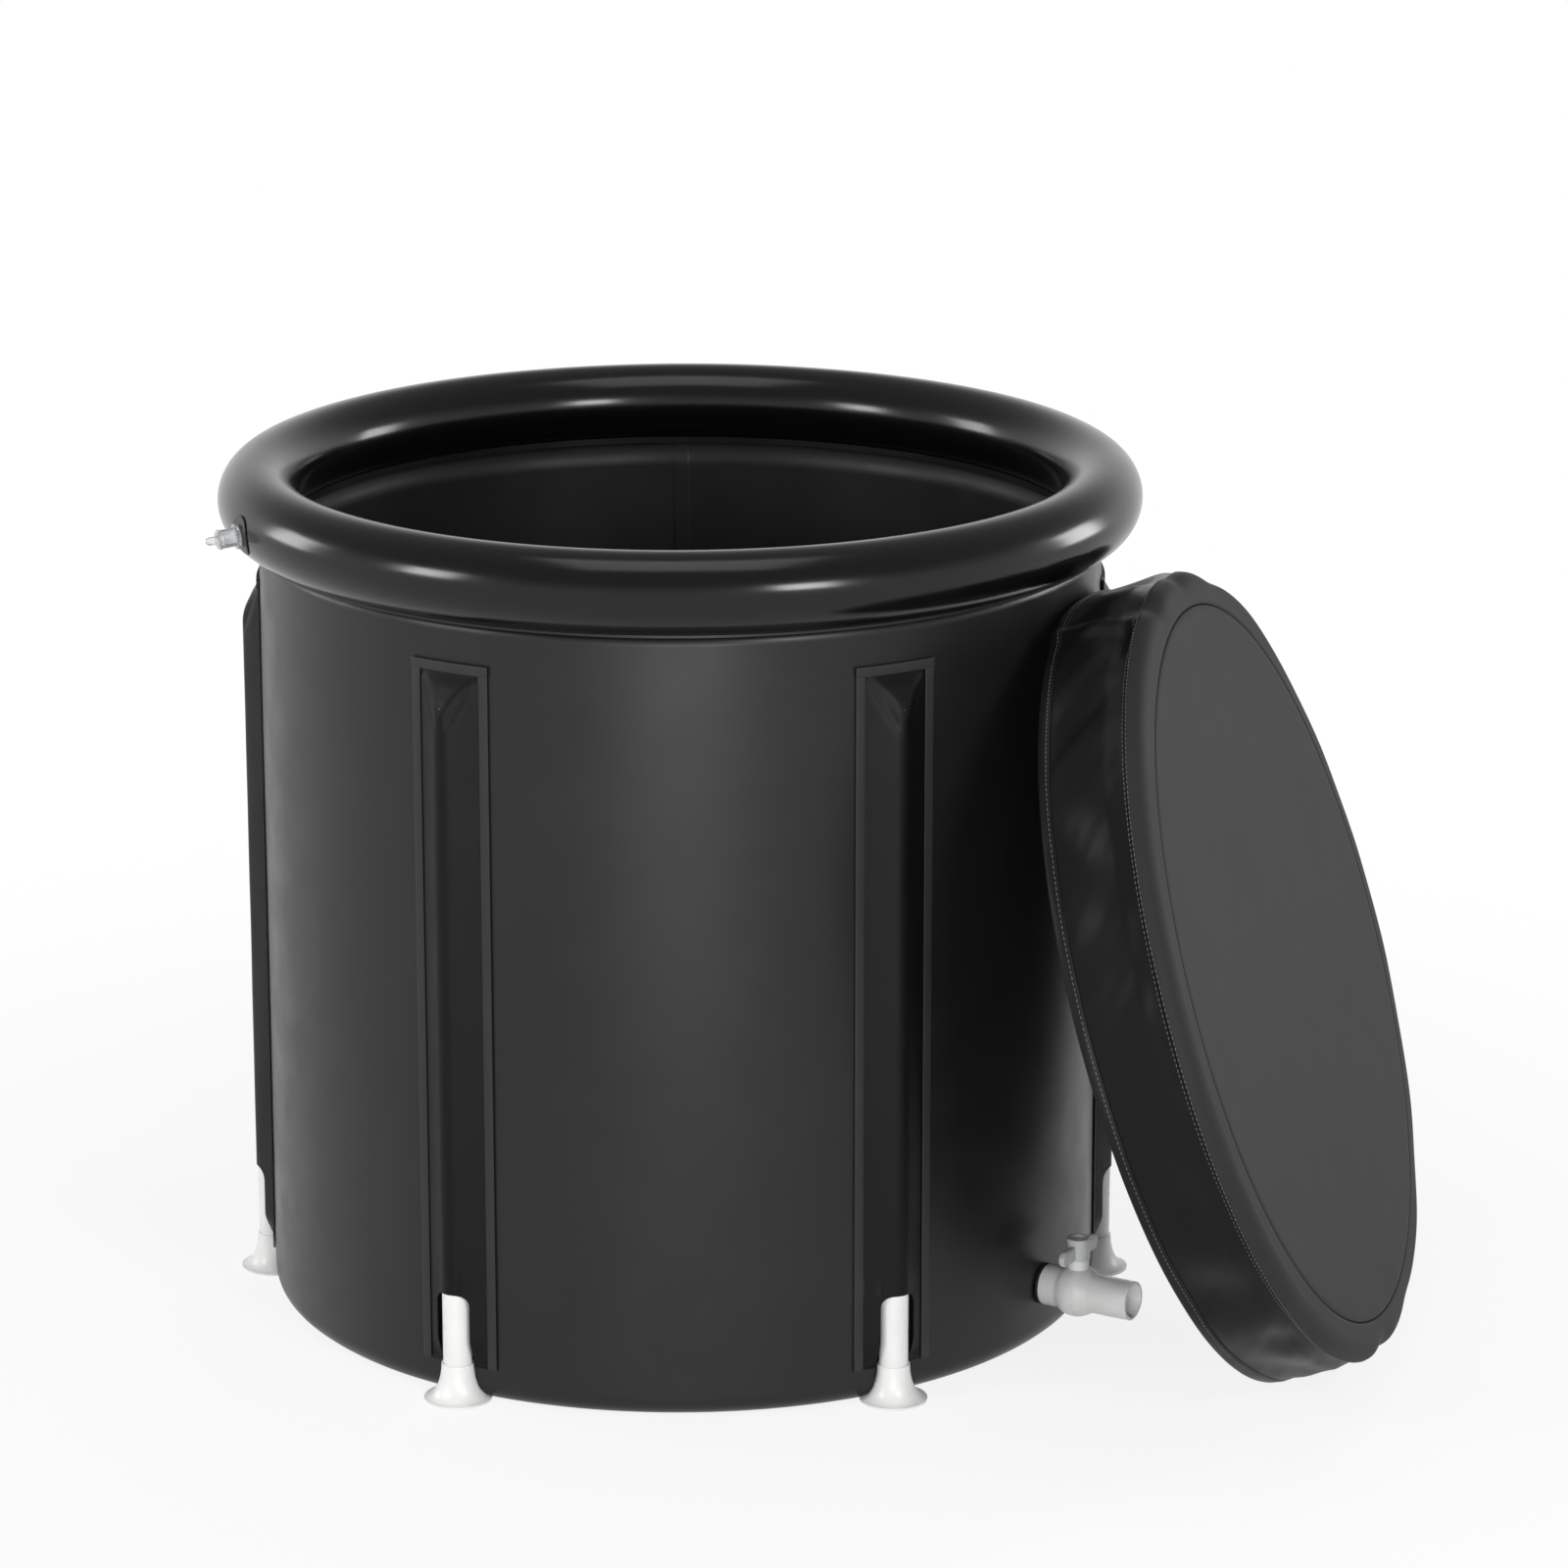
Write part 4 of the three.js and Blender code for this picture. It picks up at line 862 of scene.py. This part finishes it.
def make_handle():
    top = HUB_Z + HUB_HEIGHT
    well = top - HUB_WELL_DEPTH
    hub_outline = [(0, HUB_Z), (HUB_R, HUB_Z), (HUB_R, top), (HUB_WELL_R, top), (HUB_WELL_R, well),
                   (0, well)]
    profile = [(0, HUB_Z)] + rounded(hub_outline, HUB_EDGE)[4:-4] + [(0, well)]
    hub = lathe("hub", profile, VALVE_STEPS, AT_BALL, CLEAR_GREY)
    reach, tall = WING_REACH, HUB_Z + WING_HEIGHT
    half = [(HUB_WELL_R, HUB_Z), (reach - WING_CHAMFER, HUB_Z), (reach, HUB_Z + WING_CHAMFER),
            (reach, tall - WING_CHAMFER), (reach - WING_CHAMFER, tall), (HUB_WELL_R, tall)]
    wings = []
    for sign in (1, -1):
        outline = [(sign * side, z) for side, z in half]
        wing = plate("wing", outline, WING_THICKNESS, AT_BALL, CLEAR_GREY)
        wings.append(bevel(wing, WING_EDGE, 3))
    handle = united("drain_lever", [hub, *wings], CLEAR_GREY)
    finish_piece(handle, "drain_turn", "clear_grey_plastic", "drain_handle")


# The air valve, drawn with Z out of the ring
AIR_BEARING = math.atan2(AIR_AXIS.y, AIR_AXIS.x)
AIR_CENTRE = cylinder_point(RING_R, AIR_BEARING, RING_Z)
AIR_LEAN = Vector((0, 0, 1)).rotation_difference(AIR_AXIS).to_matrix().to_4x4()
AIR_PLACE = Matrix.Translation(AIR_CENTRE) @ AIR_LEAN


def make_air_valve():
    top = RING_TUBE_R + AIR_STEM_REACH
    root = RING_TUBE_R - AIR_STEM_ROOT
    collar = RING_TUBE_R + AIR_COLLAR_RISE
    collar_top = collar + AIR_COLLAR_HEIGHT
    stem_outline = [(AIR_BORE_R, root), (AIR_STEM_R, root), (AIR_STEM_R, collar), (AIR_COLLAR_R, collar),
                    (AIR_COLLAR_R, collar_top), (AIR_STEM_R, collar_top), (AIR_STEM_R, top),
                    (AIR_BORE_R, top)]
    stem = lathe("air_stem", rounded(stem_outline, AIR_STEM_EDGE), LEG_STEPS, AIR_PLACE, CLEAR_VINYL)
    finish_piece(stem, "tub", "clear_vinyl", "air_valve_stem")
    seat = top + PLUG_GAP
    head = seat + PLUG_HEAD_HEIGHT
    shaft = AIR_BORE_R - PLUG_GAP
    tip = seat - PLUG_LENGTH
    plug_outline = [(0, tip), (shaft - 0.8 * MM, tip), (shaft, tip + PLUG_TAPER), (shaft, seat),
                    (PLUG_HEAD_R - 0.6 * MM, seat), (PLUG_HEAD_R, seat + 0.7 * MM),
                    (PLUG_HEAD_R, head - 0.8 * MM), (PLUG_HEAD_R - 0.9 * MM, head), (0, head)]
    plug = lathe("plug", plug_outline, LEG_STEPS, AIR_PLACE, CLEAR_VINYL)
    half = PLUG_TAB_WIDTH / 2
    round_end = [(half * math.cos(t), head + PLUG_TAB_HEIGHT - half + half * math.sin(t))
                 for t in spread(0, math.pi, 16)]
    outline = [(-half, seat + 1 * MM), (half, seat + 1 * MM), *round_end]
    tab = plate("tab", outline, PLUG_TAB_THICKNESS, AIR_PLACE, CLEAR_VINYL)
    stopper = united("air_stopper", [plug, tab], CLEAR_VINYL)
    finish_piece(stopper, "air_plug", "clear_vinyl", "air_valve_plug")

    def patch_point(share, angle):
        reach = AIR_STEM_R + PATCH_GAP + (AIR_PATCH_R - AIR_STEM_R) * share
        start = AIR_PLACE @ Vector((reach * math.cos(angle), reach * math.sin(angle), RING_TUBE_R))
        bearing = math.atan2(start.y, start.x)
        middle = cylinder_point(RING_R, bearing, RING_Z)
        rise = PATCH_RISE - PATCH_FALL * smooth_step(0.9, 1, share)
        return middle + (start - middle).normalized() * (RING_TUBE_R + rise)

    turns = full_turn(LEG_STEPS)
    patch = surface("air_patch", spread(0, 1, 8), turns, patch_point, WALL_VINYL, close_columns=True)
    thicken(sharpen(patch), PATCH_SHEET, offset=1)
    finish_piece(patch, "tub", "wall_vinyl", "air_valve_patch")


# The lid, drawn with Z out of its face and its hem at zero
LID_OUT = Vector((math.cos(LID_LEAN) * math.cos(LID_FACING), math.cos(LID_LEAN) * math.sin(LID_FACING),
                  math.sin(LID_LEAN)))
LID_ACROSS = Vector((-math.sin(LID_FACING), math.cos(LID_FACING), 0))
LID_UP = LID_OUT.cross(LID_ACROSS)
HEM_LOW, HEM_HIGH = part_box("lid_hem")
LID_PLACE = (HEM_LOW + HEM_HIGH) / 2 - LID_OUT * LID_HEM_WIDTH / 2

# Soft dents in the skirt: angle round the lid, height over the hem, half sizes round and up, depth
DENT_DEPTH = 1.6 * MM
DENTS = [
    (108, 62, 40, 22, 5.0), (122, 40, 26, 30, 3.5), (146, 34, 30, 26, 3.5), (163, 42, 22, 34, 3.0),
    (178, 30, 34, 30, 2.5), (196, 46, 42, 24, 4.5), (213, 30, 34, 32, 4.0), (228, 56, 30, 16, 3.5),
    (243, 34, 44, 20, 4.0), (256, 58, 26, 16, 4.5), (268, 30, 30, 24, 3.5), (84, 40, 36, 28, 4.0),
    (55, 44, 44, 26, 3.5), (20, 36, 40, 30, 4.0), (-18, 46, 46, 24, 3.5), (-52, 34, 38, 28, 4.0),
]

# Section of the hem: rise over the skirt, height
HEM_TOP = LID_HEM_WIDTH + 0.6 * MM
HEM_SECTION = [
    (0.5 * MM, HEM_TOP), (0.9 * MM, LID_HEM_WIDTH), (1.0 * MM, 6 * MM), (0.9 * MM, 2 * MM),
    (0.3 * MM, 0.5 * MM), (-0.8 * MM, 0.1 * MM), (-2 * MM, 0.5 * MM), (-2.6 * MM, 2 * MM),
    (-2.6 * MM, LID_HEM_WIDTH), (-1.6 * MM, HEM_TOP),
]

# Folds in the shoulder: angle round the lid in degrees, half width in radians, share of the depth
FOLDS = [
    (99, 0.055, 1), (84, 0.06, 0.7), (66, 0.09, 0.4), (262, 0.07, 0.8), (280, 0.09, 0.4), (225, 0.1, 0.3),
]


def lid_point(radius, angle, w):
    """A point of the lid, which gives way where it leans on the tub's wall."""
    side = LID_ACROSS * (radius * math.cos(angle)) + LID_UP * (radius * math.sin(angle))
    point = LID_PLACE + side + LID_OUT * w
    away = math.hypot(point.x, point.y)
    stretch = -smooth_min(-away, -WALL_R - LEAN_GAP, LEAN_EASE) / away
    point.x *= stretch
    point.y *= stretch
    return point


def turn_from(angle, middle):
    return abs(math.remainder(angle - math.radians(middle), math.tau))


def skirt_radius(angle, w):
    """The skirt hangs slack between its seam and its hem, with dents, puckers and a bulge."""
    share = w / LID_SEAM_W
    radius = LID_HEM_R + (LID_SEAM_R - SEAM_TUCK - LID_HEM_R) * smooth_step(0.75, 1, share)
    free = smooth_step(0, 0.25, share) * (1 - smooth_step(0.82, 1, share))
    radius += SKIRT_BULGE * bump_at(share, 0.62, 0.3)
    for middle, height, wide, tall, depth in DENTS:
        around = turn_from(angle, middle) * LID_HEM_R / (wide * MM)
        upward = (w - height * MM) / (tall * MM)
        radius -= DENT_DEPTH * depth * math.exp(-around * around - upward * upward) * (0.25 + 0.75 * free)
    crease = round_noise(5, angle, 9 * w + 0.4)
    fine = round_noise(16, angle + 4 * w, 20 * w)
    sway = round_noise(1.6, angle, 7)
    return radius + (SKIRT_CREASE * crease + SKIRT_FINE * fine) * free + HEM_SWAY * sway * (1 - share)


def flap(angle):
    """The end of the hem stands up a little where it was sewn shut."""
    return FLAP_RISE * smooth_step(FLAP_HALF, 0, turn_from(angle, FLAP_AT))


def shoulder_outline():
    """From the groove round the panel over a flat border, then rounding down into the seam."""
    groove = [(-1.6, 0), (-0.6, -0.8), (0, -2.0), (0.6, -0.8), (1.8, 0)]
    outline = [(LID_PANEL_R + r * MM, LID_DEPTH + w * MM) for r, w in groove]
    start = (LID_PANEL_R + LID_BORDER, LID_DEPTH - BORDER_FALL)
    outline += [(LID_PANEL_R + LID_BORDER * t, LID_DEPTH - BORDER_FALL * t) for t in (0.35, 0.6, 0.8)]
    wide, tall = LID_SEAM_R - start[0], start[1] - LID_SEAM_W
    outline += [(start[0] + wide * math.sin(t), start[1] - tall * (1 - math.cos(t)))
                for t in spread(0, math.pi / 2, 20)]
    outline.append((LID_SEAM_R - 1.2 * MM, LID_SEAM_W - 0.9 * MM))
    outline.append((LID_SEAM_R - SEAM_TUCK, LID_SEAM_W - 0.6 * MM))
    return outline


def shoulder_fold(angle):
    """How far the sewn shoulder has sunk in, from 0 to about 1."""
    return sum(depth * bump_at(turn_from(angle, middle), 0, width) for middle, width, depth in FOLDS)


def shoulder_point(row, angle):
    radius, w = row
    share = smooth_step(LID_PANEL_R, LID_SEAM_R, radius)
    soft = round_noise(4, angle, 3 + 30 * w)
    fold = shoulder_fold(angle)
    radius += (SHOULDER_WAVE * soft - FOLD_IN * fold) * share
    w += (SHOULDER_LIFT * soft - FOLD_DOWN * fold) * share
    return lid_point(radius, angle, w)


def panel_height(radius, angle):
    share = radius / LID_PANEL_R
    crown = PANEL_CROWN * (1 - share ** 2)
    soft = round_noise(5 * radius, angle, 11) * (1 - smooth_step(0.85, 1, share))
    return LID_DEPTH + crown + PANEL_WAVE * soft


def make_lid():
    angles = full_turn(ROUND_STEPS * 2)
    groove = shoulder_outline()[:3]
    radii = spread(LID_MIDDLE, groove[0][0], 60)

    def panel_point(row, angle):
        radius, w = row
        return lid_point(radius, angle, panel_height(radius, angle) if w is None else w)

    rows = [(r, None) for r in radii[:-1]] + groove
    panel = surface("lid_panel", rows, angles, panel_point, LID_VINYL, close_columns=True)
    close_middle(panel, len(angles))
    thicken(sharpen(panel, 60), LID_SHEET, offset=1)
    finish_piece(panel, "lid", "lid_vinyl", "lid_top_panel")

    shoulder = shoulder_outline()[2:]
    roll = surface("lid_roll", shoulder, angles, shoulder_point, LID_VINYL, close_columns=True)
    thicken(sharpen(roll, 60), LID_SHEET, offset=1)
    finish_piece(roll, "lid", "lid_vinyl", "lid_shoulder")

    def skirt_point(w, angle):
        radius = skirt_radius(angle, w)
        radius -= FOLD_IN * shoulder_fold(angle) * smooth_step(0.5, 1, w / LID_SEAM_W)
        return lid_point(radius + flap(angle), angle, w)

    heights = spread(LID_HEM_WIDTH, LID_SEAM_W, 44)
    skirt = surface("lid_side", heights, angles, skirt_point, LID_SIDE_SHADED_VINYL, close_columns=True)
    thicken(sharpen(skirt, 60), LID_SHEET)
    finish_piece(skirt, "lid", "lid_vinyl", "lid_skirt")

    def hem_point(row, angle):
        rise, w = row
        foot = skirt_point(w, angle)
        outward = (foot - LID_PLACE - LID_OUT * w).normalized()
        return foot + outward * rise

    hem = surface("lid_edge", HEM_SECTION, angles, hem_point, LID_SIDE_SHADED_VINYL, True, True)
    finish_piece(face_out(hem, 60), "lid", "lid_vinyl", "lid_hem")

    def lining_point(radius, angle):
        return lid_point(radius, angle, LID_LINING_W + LINING_WAVE * round_noise(7 * radius, angle, 21))

    radii, turns = spread(LID_MIDDLE, LID_SEAM_R - LINING_IN, 40), full_turn(ROUND_STEPS)
    lining = surface("lid_inside", radii, turns, lining_point, LID_SIDE_SHADED_VINYL, close_columns=True)
    close_middle(lining, ROUND_STEPS)
    thicken(sharpen(lining), LINING_SHEET)
    finish_piece(lining, "lid", "lid_vinyl", "lid_lining")
    make_lid_pad()
    make_stitches(skirt_point)


def make_lid_pad():
    """The foam slab inside, a little smaller than the cover that is drawn over it."""
    low = LID_LINING_W + PAD_OVER_LINING
    high = LID_DEPTH - PAD_UNDER_PANEL
    side = (LID_PAD_R - PAD_TAPER, high - PAD_SIDE)
    section = [(0, low), (LID_PAD_R, low), side, (LID_PANEL_R, high), (0, high)]
    profile = [(max(r, 0), w) for r, w in rounded(section, PAD_EDGE)]
    turn = Matrix((LID_ACROSS, LID_UP, LID_OUT)).transposed().to_4x4()
    pad = lathe("lid_pad", profile, ROUND_STEPS, Matrix.Translation(LID_PLACE) @ turn, FOAM)
    finish_piece(pad, "lid", "insulating_foam", "lid_foam")


def stitch(verts, faces, start, end, radius):
    """One thread bead between two points."""
    along = (end - start).normalized()
    across = along.orthogonal().normalized()
    other = along.cross(across)
    first = len(verts)
    sides = 6
    for middle, size in ((start, 0.5), (start.lerp(end, 0.2), 1), (start.lerp(end, 0.8), 1), (end, 0.5)):
        verts += [middle + (across * math.cos(t) + other * math.sin(t)) * radius * size
                  for t in full_turn(sides)]
    for ring in range(3):
        for i in range(sides):
            a, b = first + ring * sides + i, first + ring * sides + (i + 1) % sides
            faces.append((a, b, b + sides, a + sides))
    faces.append(tuple(first + i for i in range(sides - 1, -1, -1)))
    faces.append(tuple(first + 3 * sides + i for i in range(sides)))


def make_stitches(skirt_point):
    count = round(math.tau * LID_SEAM_R / STITCH_PITCH)
    half = STITCH_LENGTH / LID_SEAM_R / 2
    shoulder_row = shoulder_outline()[-3]
    rows = [
        ("stitch_skirt", skirt_point, LID_SEAM_W - STITCH_TO_SEAM, STITCH_LIFT),
        ("stitch_shoulder", shoulder_point, shoulder_row, STITCH_LIFT),
        ("stitch_hem", skirt_point, LID_HEM_WIDTH - STITCH_TO_HEM, HEM_STITCH_LIFT),
    ]
    for name, place, row, lift in rows:
        verts, faces = [], []
        for angle in full_turn(count):
            start, end = place(row, angle - half), place(row, angle + half)
            outward = (start - LID_PLACE).normalized() * lift
            stitch(verts, faces, start + outward, end + outward, STITCH_R)
        thread = new_object(name, verts, faces, THREAD)
        finish_piece(thread, "lid", "lid_vinyl")


def dress_hidden_nodes():
    """Pieces that stay as they are, closed inside the others."""
    finishes = {"foam": FOAM, "leg_cap": WHITE_PVC, "drain_ball": LIT_WHITE_PVC,
                "drain_seat": LIT_WHITE_PVC, "drain_stem_seal": RUBBER, "drain_stem": LIT_WHITE_PVC}
    for name, node in frame["nodes"].items():
        for start, material in finishes.items():
            if name.startswith(start):
                node.data.materials.clear()
                node.data.materials.append(material)
                break


# The studio
def seen_ray(nodes, links):
    """One for camera, mirror and see-through rays, and zero for light that falls on things."""
    path = nodes.new("ShaderNodeLightPath")
    total = path.outputs["Is Camera Ray"]
    for name in ("Is Glossy Ray", "Is Transmission Ray"):
        either = nodes.new("ShaderNodeMath")
        either.operation = "MAXIMUM"
        links.new(total, either.inputs[0])
        links.new(path.outputs[name], either.inputs[1])
        total = either.outputs["Value"]
    return total


def fade_over(nodes, links, value, limits, results):
    """A smooth change from the first result to the second, between the two limits."""
    fade = nodes.new("ShaderNodeMapRange")
    fade.interpolation_type = "SMOOTHSTEP"
    fade.inputs["From Min"].default_value = limits[0]
    fade.inputs["From Max"].default_value = limits[1]
    fade.inputs["To Min"].default_value = results[0]
    fade.inputs["To Max"].default_value = results[1]
    links.new(value, fade.inputs["Value"])
    return fade.outputs["Result"]


def make_floor():
    material = bpy.data.materials.new("floor")
    material.use_nodes = True
    nodes, links = material.node_tree.nodes, material.node_tree.links
    nodes.clear()
    output = nodes.new("ShaderNodeOutputMaterial")
    mix = nodes.new("ShaderNodeMixShader")
    diffuse = nodes.new("ShaderNodeBsdfDiffuse")
    diffuse.inputs["Color"].default_value = (0.9, 0.9, 0.9, 1)
    glow = nodes.new("ShaderNodeEmission")
    glow.inputs["Strength"].default_value = 1
    seen = seen_ray(nodes, links)
    place = nodes.new("ShaderNodeTexCoord")
    distance = nodes.new("ShaderNodeVectorMath")
    distance.operation = "LENGTH"
    links.new(place.outputs["Object"], distance.inputs[0])
    fade = fade_over(nodes, links, distance.outputs["Value"], (FLOOR_NEAR, FLOOR_FAR), (FLOOR_GLOW, 1))
    share = nodes.new("ShaderNodeMath")
    share.operation = "MULTIPLY"
    links.new(seen, share.inputs[0])
    links.new(fade, share.inputs[1])
    links.new(share.outputs["Value"], mix.inputs["Fac"])
    links.new(diffuse.outputs["BSDF"], mix.inputs[1])
    links.new(glow.outputs["Emission"], mix.inputs[2])
    links.new(mix.outputs["Shader"], output.inputs["Surface"])
    corners = [(x * FLOOR_HALF, y * FLOOR_HALF, FLOOR_Z) for x, y in ((-1, -1), (1, -1), (1, 1), (-1, 1))]
    new_object("floor", corners, [(0, 1, 2, 3)], material)


def make_world():
    world = bpy.data.worlds.new("studio")
    bpy.context.scene.world = world
    world.use_nodes = True
    nodes, links = world.node_tree.nodes, world.node_tree.links
    nodes.clear()
    output = nodes.new("ShaderNodeOutputWorld")
    mix = nodes.new("ShaderNodeMixShader")
    fill = nodes.new("ShaderNodeBackground")
    fill.inputs["Strength"].default_value = WORLD_FILL
    white = nodes.new("ShaderNodeBackground")
    for sky in (fill, white):
        sky.inputs["Color"].default_value = (1, 1, 1, 1)
    place = nodes.new("ShaderNodeTexCoord")
    split = nodes.new("ShaderNodeSeparateXYZ")
    links.new(place.outputs["Generated"], split.inputs["Vector"])
    ceiling = fade_over(nodes, links, split.outputs["Z"], (CEILING_LOW, CEILING_HIGH), (1, CEILING_GLOW))
    links.new(ceiling, white.inputs["Strength"])
    links.new(seen_ray(nodes, links), mix.inputs["Fac"])
    links.new(fill.outputs["Background"], mix.inputs[1])
    links.new(white.outputs["Background"], mix.inputs[2])
    links.new(mix.outputs["Shader"], output.inputs["Surface"])


def softbox(name, place, target, width, height, glow, flagged=()):
    """A lamp panel of that glow, kept off the pieces in flagged."""
    light = bpy.data.lights.new(name, "AREA")
    light.shape = "RECTANGLE"
    light.size = width
    light.size_y = height
    light.energy = glow * math.pi * width * height
    lamp = bpy.data.objects.new(name, light)
    lamp.location = place
    lamp.rotation_euler = (Vector(target) - Vector(place)).to_track_quat("-Z", "Y").to_euler()
    bpy.context.scene.collection.objects.link(lamp)
    if flagged:
        shaded = bpy.data.collections.new(name + "_flag")
        lamp.light_linking.receiver_collection = shaded
        for piece in flagged:
            shaded.objects.link(bpy.data.objects[piece])
        for entry in shaded.collection_objects:
            entry.light_linking.link_state = "EXCLUDE"


def make_lights():
    middle = (0, 0, 0.5)
    softbox("front_low", (0.1, -3.6, 0.45), (0, 0, 0.45), 1.6, 0.85, 9.3, ["top_ring_tube", "lid_side"])
    softbox("front_left", (-2.7, -1.56, 1.7), middle, 0.7, 0.8, 17.5)
    softbox("front_right", (1.61, -2.78, 1.65), middle, 0.72, 0.7, 22)
    softbox("left_rim", (-3.2, 0.85, 1.4), middle, 0.9, 1.1, 8.5)
    softbox("right_rim", (3.1, 1.2, 1.2), middle, 0.9, 1.1, 10)
    softbox("back", (0.2, 3.8, 1.7), middle, 2.0, 1.0, 3.5, ["top_ring_tube"])
    softbox("overhead", (0, -0.3, 3.7), middle, 1.8, 1.8, 1.8)


def make_camera():
    camera = bpy.data.cameras.new("camera")
    camera.sensor_width = SENSOR
    camera.lens = LENS
    viewer = bpy.data.objects.new("camera", camera)
    viewer.location = CAMERA_PLACE
    viewer.rotation_euler = (CAMERA_TILT, 0, CAMERA_TURN)
    bpy.context.scene.collection.objects.link(viewer)
    bpy.context.scene.camera = viewer


make_camera()
make_wall()
make_ring()
make_weld_strip()
make_liner()
make_base()
for leg in range(LEG_COUNT):
    make_leg(leg + 1, leg * LEG_STEP)
    make_sleeve(leg + 1, leg * LEG_STEP)
    make_band(leg + 1, leg * LEG_STEP)
make_valve()
make_bulkhead()
make_handle()
make_air_valve()
make_lid()
dress_hidden_nodes()
make_floor()
make_world()
make_lights()
bpy.context.scene.view_settings.view_transform = "Standard"
